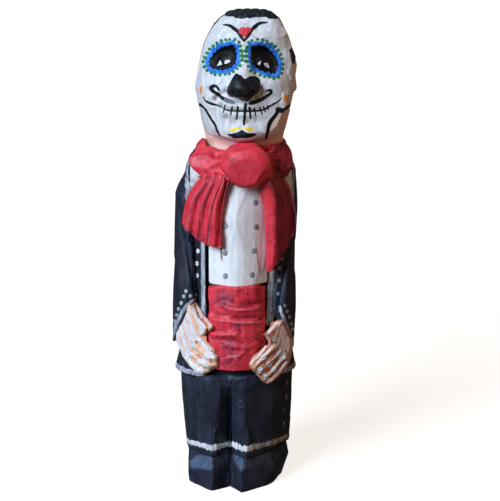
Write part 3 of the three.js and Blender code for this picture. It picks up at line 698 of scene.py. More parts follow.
FACE_EYES = {
    "right": [(232, 45.1), (226.7, 45.9), (220.8, 47.7), (214.2, 52.8), (209.8, 58.7), (209.2, 63),
              (211.3, 68.2), (217.1, 70.4), (223, 70.4), (229.6, 68.2), (234.8, 64.6), (236.2, 58.7),
              (236.2, 51.4), (235, 47)],
    "left": [(252, 47), (256, 45.9), (260.4, 45.5), (266.3, 47.7), (270.7, 50.6), (274.4, 55),
             (277.3, 60.9), (278, 66), (276.9, 72), (273, 74.5), (267, 72.7), (260.4, 70.1),
             (254.6, 67.5), (252.4, 62.4), (251.4, 55)],
}
EYE_GLINTS = [
    [(216.8, 66), (220.4, 60.2), (222.3, 64.6)],
    [(224.5, 63.8), (225.2, 60.2), (229.6, 59.8), (230.7, 61.6), (226.7, 63.8)],
    [(257.1, 63.8), (261.2, 60.5), (259.7, 65.3)],
    [(263.7, 63.1), (268.1, 63.1), (269.2, 68.2), (264.8, 66)],
]
PETAL = {"count": 18, "out": 2.2, "radius": 2.65, "up": 0.5, "band": 2.0, "half_band": 1.4}
BEAD = {"count": 25, "out": 5.3, "radius": 1.85, "up": 0.9}
BRIDGE_BEADS = [(242.2, 51.7), (245.6, 50.6), (242.6, 56.1), (245.8, 56.1), (242.2, 60), (245.6, 61)]
BROW = {
    "right": [(223.4, 24.6), (229.6, 25.7), (234, 28.6), (237.7, 31.5), (240.6, 36), (243.9, 41)],
    "left": [(267.4, 22.7), (260.4, 23.1), (255.3, 26.4), (251.6, 30.1), (248, 36), (244.4, 41)],
}
BROW_WIDTHS = [0.6, 1.5, 2.0, 1.8, 1.8, 1.0]
HEART_LOBES = [((242.5, 30.8), 3.9), ((248, 29.9), 3.0)]
HEART_TIP = [(239.2, 32.5), (250.6, 31), (244.3, 37.6)]
NOSE = [(235.9, 73.4), (239, 74.6), (242.1, 76), (245, 78.9), (248.7, 76.7), (252, 76), (256, 76.4),
        (259.3, 78.9), (260.4, 83.3), (259.3, 90.7), (253.8, 95.8), (248.7, 100.2), (244.3, 100.9),
        (239.9, 99.5), (236, 97.3), (231.1, 96.5), (227.4, 93.6), (227.1, 89.2), (229.6, 83.3),
        (233.3, 76.7)]
MOUSTACHE = {
    "right": [(223, 98.4), (217.9, 94.3), (213.5, 91.4), (210.9, 88.5), (212.7, 86.3), (216.4, 86.3),
              (219.3, 90.3)],
    "left": [(250.2, 103.5), (256, 101.7), (262.6, 98.7), (267.8, 95.4), (271.1, 92.1), (270, 89.9),
             (266.3, 91)],
}
MOUSTACHE_WIDTHS = {"right": [1.6, 1.7, 1.9, 2.1, 1.5, 1.1], "left": [1.8, 2.1, 1.9, 1.6, 1.6, 1.3, 1.0]}
# A painted highlight: grey-blue where the light glances off the black root of the moustache
MOUSTACHE_ROOT_HIGHLIGHT = [(233.6, 102.4), (228, 100.6), (222, 98)]
MOUSTACHE_ROOT_HIGHLIGHT_WIDTHS = [1.9, 2.4, 2.0]
MOUTH = [(203.2, 96.9), (205.8, 100.9), (212, 103.9), (217.1, 105), (223, 107.9), (227.4, 110.1),
         (234, 110.9), (243.6, 111.2), (252.4, 111.1), (261.9, 110.1), (267.8, 107.6), (272.9, 104.2),
         (278, 101.7), (281.3, 98)]
MOUTH_WIDTHS = [0.5, 0.9, 1.6, 0.8, 0.6, 0.9, 1.0, 1.0, 1.0, 1.0, 1.1, 1.0, 0.9, 0.6]
STITCHES = [((225, 105.3), (223.3, 112.6), 0.8), ((232.2, 107), (230.6, 115.3), 1.0),
            ((237.8, 107), (236.7, 118.7), 1.2), ((245.6, 104.2), (243.9, 124.2), 1.6),
            ((249.4, 107.6), (250.6, 118.1), 1.2), ((254.4, 108.7), (255.6, 115.3), 1.0),
            ((260, 108.1), (262.2, 114.2), 1.0), ((263.3, 106.4), (265.6, 112), 0.9),
            ((267.8, 105.9), (268.3, 109.8), 0.9)]
JAW = {
    "right": [(200, 104.4), (203.9, 107.6), (207.6, 112.7), (211.3, 119.3), (214.9, 124.4),
              (217.1, 130.3), (219.7, 135.4)],
    "left": [(279.1, 109.4), (275.1, 115.6), (270, 122.2), (267.8, 130.3), (265.9, 138.4)],
}
JAW_WIDTHS = {"right": [1.4, 1.1, 1.1, 1.3, 1.3, 1.2, 0.8], "left": [1.7, 1.8, 2.2, 1.9, 1.1]}
CHEEK_BAR = [(291.5, 105.4), (288.3, 108.3), (283.9, 111.2), (279.1, 109.4)]
CHEEK_BAR_HALF = 1.4
CHEEK_SPOTS = [(199.6, 89.9), (287.9, 97.6)]
CHEEK_SPOT_RADIUS = 2.4
CHIN_DASHES = [[(230.5, 130.2), (239.6, 128.4)], [(245, 128.6), (252.6, 129.8)]]
CHIN_LEAF = [(227.4, 134.3), (234, 133.2), (239.9, 131), (241.7, 129.4), (244.3, 131.4), (248.7, 133.2),
             (255.7, 133.2), (255.3, 135.4), (248.7, 138), (242.8, 138), (234, 138.4), (231.1, 136.9)]
HAIR_FRONT = [(222, 15), (228.2, 5), (258, 5), (277, 12), (279, 18), (270, 18.9), (266.3, 17.2),
              (258.2, 16.7), (252.4, 17.2), (250.2, 18.4), (245.8, 18), (241.4, 18.8), (234.8, 17.6),
              (232.6, 15.2), (227, 15.8)]
CHEEK_FOLDS = [[(229, 88), (221, 95), (213, 102)], [(261, 88), (268, 95), (276, 100)]]
CHEEK_FOLD = {"depth": 0.9, "width": 2.2, "lip": 0.5, "lip_at": 5, "lip_width": 3}
EYE = {"sink": 1.7, "edge": (-1.5, 3.5), "ball": 0.9, "radius": 9.5, "rise": 6, "low": 1.5, "wide": 1.25}
NOSE_FORM = {"lift": 1.5, "edge": (-1, 7), "rim": 0.9, "rim_at": 1.2, "rim_width": 2.2, "rim_top": (80, 88)}
LIPS = {"depth": 0.55, "width": 1.4, "lip": 0.55, "lip_at": 4.5, "lip_width": 3}
LIP_ENDS = (0.2, 0.35)
STITCH_TAPER = 0.8
DASH_WIDTHS = [1.6, 1.5]
DAB_WOBBLE = 0.3
DAB_SIZES = (0.85, 1.1)
COMB = {
    "edge": (-0.5, 1.5), "crown": (56, 64), "side": 9, "top": 0.62, "sway": (0.5, 0.23), "drift": (0.4, 0.31),
    "sink": 0.2, "depth": 0.6,
}
EAR = {
    "turn": 100, "rise": 30.5, "tall": 0.62,
    "depth": 0.9, "width": 2.4, "lip": 0.4, "lip_at": 4.6, "lip_width": 1.3,
}
NOSE_BULBS = [((232, 90), 4.5, 0.8), ((256, 87), 4.5, 0.8), ((245, 94), 5, 1.0)]
NOSTRILS = [(236.5, 95.5), (251, 95)]
NOSTRIL = {"depth": 1.1, "reach": 2.4}
# Brown spots of worn paint on the face; the last two are the nose's painted shadow at its lower right
RUBBED_AND_SHADOW_RADIUS = 2.6
RUBBED_AND_SHADOW = [(215, 98), (224, 91), (225, 116), (233, 121), (246, 121), (257, 120), (221, 104), (257, 97.5),
          (261, 93)]

# Edges of the hair and the white face: turns from the front in degrees, and heights above the chin
HAIR = {"front": 66.5, "side": 40, "nape": 12}
HAIR_TURN = {"front": 70, "side": 92, "behind_ear": 104, "nape": 128}
JAW_TURNS = [0, 20, 45, 75, 98, 104]
JAW_RISES = [-6.5, -5.5, 0, 3, 14, 30]
FACE_SIDE_RISES = [0, 14, 26, 40]
FACE_SIDE_TURNS = {"right": [80, 94, 100, 95], "left": [68, 84, 91, 84]}
LEFT_HAIR_RISES = [37, 41, 48.5, 51, 56, 65]
LEFT_HAIR_TURNS = [70, 55, 53, 70, 82, 78]
SIDEBURN_LIFT = {"centre": (295, 57), "reach": 9, "height": 1.4, "facing": -0.4}
CHEEK_EDGE = [(269, 12), (280, 32), (286.5, 52), (287, 75), (284.5, 92), (278, 112), (268, 136)]
CHEEK_LIFT = {"height": 3.3, "inner": 18, "outer": 7, "top": (10, 26), "low": (128, 142)}
CHIN_DROP = {"x": 242, "reach": 20, "down": (118, 138), "facing": (-0.5, 0), "vector": (0, -3.2, -1.6)}
WHITE_JAW = [(206, 126), (214, 134.2), (220.6, 139.2), (228.3, 142.5), (257, 142), (264, 138.7),
             (272.8, 135.3), (282.8, 128.7), (288, 112), (203, 112)]
MM_PER_DEGREE = 0.46


def head_frame(points):
    """Turn from the front in degrees, growing towards +X, and rise above the chin."""
    rise = points[:, 2] - CHIN_Z
    lean = HEAD_LEAN["shift"] * np.clip((rise - HEAD_LEAN["from"]) / HEAD_LEAN["over"], 0, 1)
    turn = np.degrees(np.arctan2(points[:, 0] - NECK_AXIS[0] - lean, HEAD_MIDDLE_Y - points[:, 1]))
    return turn, rise


def hair_edge(turn, rise):
    """Distance from the edge of the hair, negative inside. The left side has a bare temple and a sideburn."""
    away = np.abs(turn)
    burn = soft(away, HAIR_TURN["front"], HAIR_TURN["side"])
    nape = soft(away, HAIR_TURN["behind_ear"], HAIR_TURN["nape"])
    side = HAIR["front"] + (HAIR["side"] - HAIR["front"]) * burn
    right = side + (HAIR["nape"] - side) * nape - rise
    low = HAIR["side"] + (HAIR["nape"] - HAIR["side"]) * nape - rise
    front = (np.interp(rise, LEFT_HAIR_RISES, LEFT_HAIR_TURNS) - turn) * MM_PER_DEGREE
    left = np.minimum(np.maximum(low, front), HAIR["front"] - rise)
    return np.where(turn < 0, right, left)


def carve_face(head):
    """Sinks the eyes, rounds the nose, and cuts folds, lips and nostrils."""
    place = head.place
    height = np.zeros(len(place))
    for outline in FACE_EYES.values():
        middle = np.mean(outline, axis=0)
        height -= EYE["sink"] * soft(-patch(place, outline), *EYE["edge"])
        ball = np.hypot(place[:, 0] - middle[0], (place[:, 1] - middle[1] - EYE["low"]) * EYE["wide"])
        height += EYE["ball"] * soft(EYE["radius"] - ball, 0, EYE["rise"])
    nose = patch(place, NOSE)
    rim = bump(nose, NOSE_FORM["rim_width"], NOSE_FORM["rim_at"]) * soft(place[:, 1], *NOSE_FORM["rim_top"])
    height += NOSE_FORM["lift"] * soft(-nose, *NOSE_FORM["edge"]) - NOSE_FORM["rim"] * rim
    for centre, reach, lift in NOSE_BULBS:
        height += lift * head.near(centre, reach)
    for centre in NOSTRILS:
        height -= NOSTRIL["depth"] * head.near(centre, NOSTRIL["reach"])
    for line in CHEEK_FOLDS:
        gap, _ = to_line(place, smooth_line(line))
        height += crease(gap, CHEEK_FOLD)
    line = smooth_line(CHEEK_EDGE)
    beyond = place[:, 0] - np.interp(place[:, 1], line[:, 1], line[:, 0])
    plane = np.clip(1 + beyond / CHEEK_LIFT["inner"], 0, 1) * (1 - soft(beyond, 0, CHEEK_LIFT["outer"]))
    plane *= soft(place[:, 1], *CHEEK_LIFT["top"]) * (1 - soft(place[:, 1], *CHEEK_LIFT["low"]))
    height += CHEEK_LIFT["height"] * plane
    gap, share = to_line(place, smooth_line(MOUTH))
    height += soft(share, *LIP_ENDS) * soft(1 - share, *LIP_ENDS) * crease(gap, LIPS)
    head.push(height * head.shown(SEEN_EARLY))
    burn = head.near(SIDEBURN_LIFT["centre"], SIDEBURN_LIFT["reach"])
    head.push(SIDEBURN_LIFT["height"] * burn * (head.facing > SIDEBURN_LIFT["facing"]))
    chin = bump(head.place[:, 0], CHIN_DROP["reach"], CHIN_DROP["x"]) * head.shown(CHIN_DROP["facing"])
    chin *= soft(head.place[:, 1], *CHIN_DROP["down"])
    head.move(np.outer(chin, CHIN_DROP["vector"]))


def carve_hair(head):
    """Combs the hair back with a wide gouge."""
    turn, rise = head_frame(head.points)
    x, y, _ = head.points.T
    inside = soft(-hair_edge(turn, rise), *COMB["edge"])
    crown = soft(rise, *COMB["crown"])
    across = (1 - crown) * np.radians(turn) * COMB["side"] + crown * x * COMB["top"]
    for along, (swing, rate) in ((rise, COMB["sway"]), (y, COMB["drift"])):
        across = across + swing * np.sin(along * rate)
    furrow = (1 - np.abs(np.sin(across))) ** 2
    head.push(inside * (-COMB["sink"] - COMB["depth"] * furrow))


def carve_ear(head):
    """Hollows the ears inside their rims."""
    turn, rise = head_frame(head.points)
    away = np.hypot((np.abs(turn) - EAR["turn"]) * MM_PER_DEGREE, (rise - EAR["rise"]) * EAR["tall"])
    head.push(crease(away, EAR))


def ring_around(place, outline, ring):
    """Signed distance from dabs at equal steps on a line drawn outside an outline."""
    line = smooth_line(outline, closed=True)
    middle = line.mean(axis=0)
    ray = line - middle
    wider = middle + ray * (1 + ring["out"] / np.linalg.norm(ray, axis=1, keepdims=True))
    rng = np.random.default_rng(ring["count"])
    dabs = []
    for centre in evenly(wider, ring["count"]) - (0, ring["up"]):
        moved = centre + rng.normal(size=2) * DAB_WOBBLE
        dabs.append(dots(place, [moved], ring["radius"] * rng.uniform(*DAB_SIZES)))
    return least(dabs)


def paint_head(head):
    """Lays the white face, the hair and the ornament, which stands a little proud."""
    place = head.place
    turn, rise = head_frame(head.points)
    jaw = np.interp(np.abs(turn), JAW_TURNS, JAW_RISES) - rise
    sides = [np.interp(rise, FACE_SIDE_RISES, FACE_SIDE_TURNS[side]) for side in SIDES]
    bone = np.maximum(jaw, (np.abs(turn) - np.where(turn < 0, *sides)) * MM_PER_DEGREE)
    bone = np.minimum(bone, head.front(patch(place, WHITE_JAW, smooth=False)))
    edge_turn, edge_rise = head_frame(head.under(JAW["left"] + CHEEK_BAR))
    order = np.argsort(edge_turn)
    bare = np.interp(turn, edge_turn[order], edge_rise[order], left=JAW_RISES[0]) - rise
    head.coat("bone", np.where(turn > 0, np.maximum(bone, bare), bone))
    head.coat("hair", np.minimum(hair_edge(turn, rise), head.front(patch(place, HAIR_FRONT))))
    # worn spots, and the nose's painted shadow
    head.coat("rubbed_and_shadow", head.front(dots(place, RUBBED_AND_SHADOW, RUBBED_AND_SHADOW_RADIUS)))
    eyes = FACE_EYES.values()
    rims = [patch(place, outline) for outline in eyes]
    petals = [ring_around(place, outline, PETAL) for outline in eyes]
    petals += [np.abs(rim - PETAL["band"]) - PETAL["half_band"] for rim in rims]
    beads = [ring_around(place, outline, BEAD) for outline in eyes]
    beads.append(dots(place, BRIDGE_BEADS, BEAD["radius"]))
    ink = [patch(place, NOSE), stroke(place, MOUTH, MOUTH_WIDTHS), patch(place, CHIN_LEAF)]
    for side in SIDES:
        ink.append(stroke(place, BROW[side], BROW_WIDTHS))
        ink.append(stroke(place, MOUSTACHE[side], MOUSTACHE_WIDTHS[side]))
        ink.append(stroke(place, JAW[side], JAW_WIDTHS[side]))
    for top, low, width in STITCHES:
        ink.append(stroke(place, (top, low), [width, STITCH_TAPER * width], smooth=False))
    heart = [dots(place, [centre], radius) for centre, radius in HEART_LOBES]
    heart.append(patch(place, HEART_TIP, smooth=False))
    layers = {
        "socket": least(rim - PETAL["out"] for rim in rims),
        "petal": least(petals),
        "bead": least(beads),
        "ink": least(ink),
        "heart": least(heart),
        # a painted highlight on the root of the moustache
        "root_highlight": stroke(place, MOUSTACHE_ROOT_HIGHLIGHT, MOUSTACHE_ROOT_HIGHLIGHT_WIDTHS),
        "dash": least(stroke(place, dash, DASH_WIDTHS, smooth=False) for dash in CHIN_DASHES),
        "glint": least(patch(place, glint, smooth=False) for glint in EYE_GLINTS),
    }
    painted = {name: head.front(distance) for name, distance in layers.items()}
    painted["ink"] = np.minimum(painted["ink"], head.ribbon(CHEEK_BAR, CHEEK_BAR_HALF))
    painted["cheek"] = least(head.ribbon([spot], CHEEK_SPOT_RADIUS) for spot in CHEEK_SPOTS)
    for name, distance in painted.items():
        head.coat(name, distance)
    head.build_up(least(painted.values()), **FACE_COAT)


def make_head():
    head = Carving("head", *STOCK["head"])
    carve_face(head)
    head.facets(SEEDS["head"], **CUTS["head"])
    carve_hair(head)
    carve_ear(head)
    head.smooth_along(rounds=2)
    paint_head(head)
    head.finish(face_paint(), "white_paint", blur=10)


# The bow

KNOT = {"middle": (245, 165), "reach": 25, "swell": 0.6}
LOOP_CREASE = {"depth": 0.9, "width": 1.9, "lip": 0.3, "lip_at": 4.5, "lip_width": 2.5}
LOOP_CREASES = {
    "right": [[(222, 156), (214, 156)], [(222, 165), (212, 168.5)]],
    "left": [[(270, 160), (277, 162), (286, 165)], [(270, 156), (277, 154)], [(270, 166), (277, 170)]],
}
KNOT_PULLS = [{"centre": (246, 141), "reach": 14, "vector": (0, 0, -1.3)},
              {"centre": (221, 166), "reach": 16, "vector": (-0.7, 0, 0)}]
LOOP_PULLS = {"right": [{"centre": (217, 149), "reach": 6, "vector": (0, 0, -2.4)},
                        {"centre": (191, 150), "reach": 6, "vector": (2.2, 0, -0.5)},
                        {"centre": (211, 142), "reach": 6, "vector": (-1.8, 0, -2.2)}],
              "left": [{"centre": (292, 156), "reach": 14, "vector": (0, 3.0, 0)}]}
BAND = {"drop": 5.0, "top": (-6, -1), "front": (4, 14), "side": (0, 9)}

# Each tail's lines from its right edge to its left, and the heights between each pair of them
TAIL_LINES = {
    "right": [[(203, 175), (193.3, 186), (188.2, 194), (184.4, 206), (182.3, 221), (182.3, 250)],
              [(207, 180), (204.4, 186), (196, 197), (191.6, 208), (189.5, 218), (187.6, 250)],
              [(215, 176), (208.6, 190), (203.5, 203), (200.5, 214), (199.7, 224), (198, 250)],
              [(222, 182), (215.4, 195), (211.6, 206), (209.9, 218), (208.6, 231), (208, 250)],
              [(226, 182), (223.5, 195), (221, 206), (219.7, 218), (219.2, 250)]],
    "left": [[(261, 180), (263.8, 202), (265.5, 219), (266, 262), (267, 275)],
             [(266, 180), (271.8, 193), (274, 208), (273.6, 225), (273.4, 250), (271, 275)],
             [(274, 180), (280, 200), (282, 225), (281, 262)],
             [(280, 180), (287, 200), (289.5, 215), (289, 250)],
             [(287, 178), (293, 193), (295.4, 208), (295, 250)]],
}
FLUTE = ([0, 0.15, 0.35, 0.6, 1], [2.4, 1.2, -0.1, 0.5, 2.4])
TAIL_HEIGHTS = {
    "right": [([0, 1], [0.2, 2.4]), FLUTE, FLUTE,
              ([0, 0.15, 0.3, 0.5, 0.7, 1], [2.4, 1.2, 0.8, 1.5, 0.9, -1.6])],
    "left": [([0, 1], [0.0, 3.2]), ([0, 1], [3.2, 0.9]), ([0, 0.3, 1], [0.9, 0.3, 0.0]),
             ([0, 1], [0.0, -1.8])],
}
TAIL_RIDGE_WIDTH = [0.6, 0.5, 0.35]
TAIL_EVENED = 90
# Painted shade: on the left tail from this many pixels past its ridge, and on the left loop past the column
# LEFT_SHADE
LEFT_FOLD = 0.8
LEFT_SHADE = 273


def make_bow(red):
    """The knot, the band round the neck, and a loop and a tail on either side."""
    knot = Carving("bow_knot", *STOCK["knot"])
    for pull in KNOT_PULLS:
        knot.pull(**pull)
    away = np.hypot(*(knot.place - KNOT["middle"]).T) / KNOT["reach"]
    knot.push(KNOT["swell"] * (1 - away**2) * knot.shown())
    knot.facets(SEEDS["knot"], **CUTS["knot"])
    knot.smooth_along(rounds=1)
    finish_red(knot, red)
    band = Carving("neck_band", *STOCK["band"])
    x, y, z = band.points.T
    top = soft(z - z.max(), *BAND["top"])
    top *= soft(NECK_AXIS[1] - y, *BAND["front"]) * soft(NECK_AXIS[0] - x, *BAND["side"])
    band.move(np.outer(top, (0, 0, -BAND["drop"])))
    band.facets(SEEDS["band"], **CUTS["band"])
    band.smooth_along(rounds=1)
    finish_red(band, red)
    for step, side in enumerate(SIDES):
        loop = Carving(side + "_bow_loop", *STOCK["loop"])
        for pull in LOOP_PULLS[side]:
            loop.pull(**pull)
        loop.facets(SEEDS["loop"] + step, **CUTS["loop"])
        for line in LOOP_CREASES[side]:
            gap, _ = to_line(loop.place, np.array(line, float))
            loop.push(crease(gap, LOOP_CREASE) * loop.shown())
        loop.smooth_along(rounds=2)
        # painted shade on the loop past LEFT_SHADE, where it turns from the light
        finish_red(loop, red, painted_shade=loop.front(LEFT_SHADE - loop.place[:, 0]))
        make_tail(side, SEEDS["tail"] + step, red)


def make_tail(side, seed, red):
    """A tail gouged between sharp ridges. The left one is folded, with only its inner strip to the light and
    painted shade on the strips beyond.
    """
    tail = Carving(side + "_bow_tail", *STOCK["tail"])
    tail.flatten(TAIL_EVENED)
    across, down = tail.place.T
    lines = [smooth_line(line) for line in TAIL_LINES[side]]
    lines = [np.interp(down, line[:, 1], line[:, 0]) for line in lines]
    height = np.zeros(len(across))
    for (shares, heights), near, far in zip(TAIL_HEIGHTS[side], lines[:-1], lines[1:]):
        share = (across - near) / (far - near)
        within = (share >= 0) & (share < 1)
        height[within] = np.interp(share[within], shares, heights)
    outer = across >= lines[-1]
    height[outer] = TAIL_HEIGHTS[side][-1][1][-1]
    tail.push(height * tail.shown())
    tail.facets(seed, **CUTS["tail"])
    tail.smooth_along(rounds=2)
    if side == "left":
        # painted shade on the strips past the ridge, which turn from the light
        finish_red(tail, red, painted_shade=tail.front(lines[1] - tail.place[:, 0] + LEFT_FOLD))
    else:
        rubs = [stroke(tail.place, line, TAIL_RIDGE_WIDTH) for line in TAIL_LINES[side][1:-1]]
        finish_red(tail, red, pale=tail.front(least(rubs)))


def finish_red(piece, red, faded=FAR, painted_shade=FAR, pale=FAR):
    """Finishes a red piece, with its faded places, its painted shade and its pale worn places if it has any.
    """
    for name, distance in (("faded", faded), ("painted_shade", painted_shade), ("pale", pale)):
        piece.coat(name, np.zeros(len(piece.points)) + distance)
    piece.finish(red, "red_paint", blur=6)


# Shirt and sash

BUTTONS = [(225.5, 226), (225.2, 253), (225.5, 276), (255.5, 202.5), (256.5, 227), (254, 251), (252, 275)]
SHIRT_PLANES = (243, 258)
SHIRT_SLOPES = (0.012, 0.04)
SHIRT_BELLY = {"centre": (226, 220), "reach": 20, "lift": 2.2}
SHIRT_CRACK = [(220.6, 247), (221.3, 256), (221.9, 263)]
SHIRT_CRACK_WIDTHS = [0.9, 0.9, 0.2]
CRACK_CUT = {"height": -0.7, "edge": (-0.5, 0.4)}
BUTTON = {"radius": 2.7, "tall": 1.12}
SASH_FOLDS = [
    {"line": [(222, 305), (230, 308.5), (238, 310), (250, 309.5), (262, 307)], "height": 1.2},
    {"line": [(208, 315.5), (217, 319.7), (227, 321.5), (240, 322.6), (259, 322.3), (266, 321)],
     "height": 1.1},
    {"line": [(211, 334), (222, 335), (236, 334.5)], "height": 0.7},
    {"line": [(226, 345), (238, 347), (249, 346.5), (258, 344)], "height": 0.6},
    {"line": [(228, 358.5), (238, 356), (244, 352.5)], "height": 0.6},
]
SASH_RUBS = [[(226, 306.4), (230, 308.7), (238, 309.9), (249.6, 309.3), (259.4, 308)],
             [(232, 322), (245, 322.7), (259, 322.3)], [(238, 347), (248.4, 346.7)],
             [(231, 357.5), (238, 356), (242.7, 353)]]
SASH_RUB_WIDTH = [0.3, 0.5, 0.3]
# Strokes of painted shade under the folds
SASH_SHADES = [[(246, 302.5), (252, 303)], [(233, 296), (233, 302)], [(230, 317.5), (250, 317)],
               [(212.7, 338), (234.6, 338)]]
SASH_SHADE_WIDTH = [0.8, 1.5, 0.8]
SASH_HOLLOWS = [((249, 303), 5), ((233, 300), 4), ((240, 317.5), 5)]
SASH_FADED = [((223, 299), 8), ((228, 346), 6), ((233, 356), 5), ((227, 362), 4), ((237, 326), 4)]
SASH_EDGE = {"right": 0.9, "left": 2.2, "reach": 9, "sink": 0.6, "corner": 2.4, "lip": 0.8, "top": (-9, -3)}
SASH_FOLD = {"width": 2.2, "hollow": 0.9, "hollow_at": 5, "hollow_width": 2.6}
SASH_HOLLOW_DEPTH = 0.5


def make_shirt():
    """The shirt: flat planes over a full belly, with painted buttons and one crack."""
    shirt = Carving("shirt_front", *STOCK["shirt"])
    past = [np.maximum(shirt.place[:, 0] - edge, 0) for edge in SHIRT_PLANES]
    shirt.push(-(SHIRT_SLOPES[0] * past[0] + SHIRT_SLOPES[1] * past[1]) * shirt.shown())
    belly = shirt.near(SHIRT_BELLY["centre"], SHIRT_BELLY["reach"])
    shirt.push(SHIRT_BELLY["lift"] * belly * shirt.shown())
    shirt.facets(SEEDS["shirt"], **CUTS["shirt"])
    crack = shirt.front(stroke(shirt.place, SHIRT_CRACK, SHIRT_CRACK_WIDTHS))
    shirt.build_up(crack, **CRACK_CUT)
    shirt.smooth_along(rounds=1)
    buttons = shirt.front(dots(shirt.place, BUTTONS, **BUTTON))
    shirt.coat("crack", crack)
    shirt.coat("button", buttons)
    shirt.build_up(buttons, **BUTTON_COAT)
    shirt.finish(white_paint(), "white_paint", blur=8)


def make_sash(red):
    """The sash: cross folds, worn pale on top with painted shade below, between drawn-in edges."""
    sash = Carving("waist_sash", *STOCK["sash"])
    x, _, z = sash.points.T
    right = soft(SASH_LOW[0] + SASH_EDGE["reach"] - x, 0, SASH_EDGE["reach"])
    left = soft(x - SASH_HIGH[0] + SASH_EDGE["reach"], 0, SASH_EDGE["reach"])
    top = soft(z - SASH_HIGH[2], *SASH_EDGE["top"])
    inward = SASH_EDGE["right"] * right - SASH_EDGE["left"] * left
    back = SASH_EDGE["sink"] * left + SASH_EDGE["lip"] * top
    sash.move(np.stack([inward, back, -SASH_EDGE["corner"] * top * np.maximum(left, right)], axis=1))
    height = np.zeros(len(x))
    for fold in SASH_FOLDS:
        line = smooth_line(fold["line"])
        gap, _ = to_line(sash.place, line)
        level = np.interp(sash.place[:, 0], line[:, 0], line[:, 1])
        above = np.where(sash.place[:, 1] < level, gap, -gap)
        hollow = SASH_FOLD["hollow"] * bump(above, SASH_FOLD["hollow_width"], SASH_FOLD["hollow_at"])
        height += fold["height"] * (bump(above, SASH_FOLD["width"]) - hollow)
    for centre, reach in SASH_HOLLOWS:
        height -= SASH_HOLLOW_DEPTH * sash.near(centre, reach)
    sash.push(height * sash.shown())
    sash.facets(SEEDS["sash"], **CUTS["sash"])
    sash.smooth_along(rounds=1)
    faded = least(dots(sash.place, [centre], reach) for centre, reach in SASH_FADED)
    # painted shade under the folds
    painted_shade = least(stroke(sash.place, line, SASH_SHADE_WIDTH) for line in SASH_SHADES)
    pale = least(stroke(sash.place, line, SASH_RUB_WIDTH) for line in SASH_RUBS)
    finish_red(sash, red, sash.front(faded), sash.front(painted_shade), sash.front(pale))


# Jacket

OPENING_GAP = 0.9
OPENING = (SASH_LOW[0] - OPENING_GAP, SASH_HIGH[0] + OPENING_GAP)
OPENING_HEIGHT = 84
OPENING_TOP = HEM_Z + OPENING_HEIGHT
LAPEL_TRIM = {"inset": 0.4, "width": 2.4}
HEM_TRIM = {"low": 0.5, "high": 3.6, "past_opening": 1.5}
UPPER_TRIM = {
    "right": [(203, 139.5), (196, 143.5), (190, 150), (187.2, 157), (186.2, 165), (185.6, 172), (186.2, 181),
              (187, 190), (187.4, 198)],
    "left": [(288, 145), (292, 153), (294.5, 163), (295, 175), (294.8, 186), (294.8, 197)],
}
UPPER_TRIM_HALF = {"right": 1.8, "left": 1.3}
COLLAR_WHITE = {
    "right": [(190.3, 158), (212, 168), (209, 186), (190, 196)],
    "left": [(268, 166), (291.5, 170), (292.4, 180), (291.5, 192), (272, 196)],
}
SHOULDER_LIFT = {"height": 2.6, "z": (178, 190), "out": (12, 20), "y": (-17, -9)}
SHOULDER_DROP = {"low": 172, "high": 188, "vector": (3.4, 0, -0.4)}
COLLAR_LIFT = {"centre": (197, 176), "reach": 9, "lift": 2.4}
LEFT_LAPEL = {"line": [(271.5, 270), (269.8, 290), (269.2, 308), (268.4, 324)], "half_width": 2.4,
              "inward": 2.4, "reach": 6, "sink": 0.9, "trim_shade": 3.6, "top": (0, 8), "low": (4, 12)}
JACKET_STUDS = [(198, 251), (197, 263.5), (197, 275.5), (281, 258), (280, 267), (279, 281), (278, 294)]
JACKET_STUD = {"radius": 1.75, "tall": 1.35}
COLLAR_COAT = {"name": "collar", "tones": (BONE_SHADE, BONE), "ragged": 0.6}
SILVER_COAT = {"name": "silver", "tones": (SILVER, SILVER_BRIGHT), "ragged": 0.9}
STUD_COAT = {"name": "stud", "tones": (SILVER, SILVER_BRIGHT), "ragged": 0.4}
JACKET_COATS = [
    COLLAR_COAT, SILVER_COAT,
    # painted shade beside the lace edge
    {"name": "trim_shade", "tones": (TRIM_SHADE, TRIM_SHADE_PALE), "ragged": 2.0},
    {"name": "lace", "tones": (BONE_SHADE, BONE), "ragged": 1.9},
    {"name": "stud", "tones": (SILVER_BRIGHT, BONE), "ragged": 0.4},
]


def lift_shoulder(piece):
    """Fills out the right shoulder behind the bow, and the collar beside it."""
    x, y, z = piece.points.T
    shoulder = soft(z, *SHOULDER_LIFT["z"]) * soft(-x, *SHOULDER_LIFT["out"]) * soft(y, *SHOULDER_LIFT["y"])
    piece.push(SHOULDER_LIFT["height"] * shoulder)
    piece.push(COLLAR_LIFT["lift"] * piece.near(COLLAR_LIFT["centre"], COLLAR_LIFT["reach"]) * piece.shown())


def draw_lapel(jacket):
    """Brings the left lapel in towards the sash, with its edge turned to the light."""
    x, y, z = jacket.points.T
    beside = np.abs(x - OPENING[1])
    near = soft(LEFT_LAPEL["reach"] - beside, 0, LEFT_LAPEL["reach"]) * (y < NECK_AXIS[1])
    near *= soft(OPENING_TOP - z, *LEFT_LAPEL["top"]) * soft(z - HEM_Z, *LEFT_LAPEL["low"])
    jacket.move(near[:, None] * np.array((-LEFT_LAPEL["inward"], LEFT_LAPEL["sink"], 0)))


def upper_trim(piece):
    """The silver edge beside the bow, and the white shirt inside it."""
    silver = np.full(len(piece.points), FAR)
    white = silver
    for side in SIDES:
        silver = np.minimum(silver, piece.ribbon(UPPER_TRIM[side], UPPER_TRIM_HALF[side]))
        white = np.minimum(white, piece.front(patch(piece.place, COLLAR_WHITE[side], smooth=False)))
    return silver, white


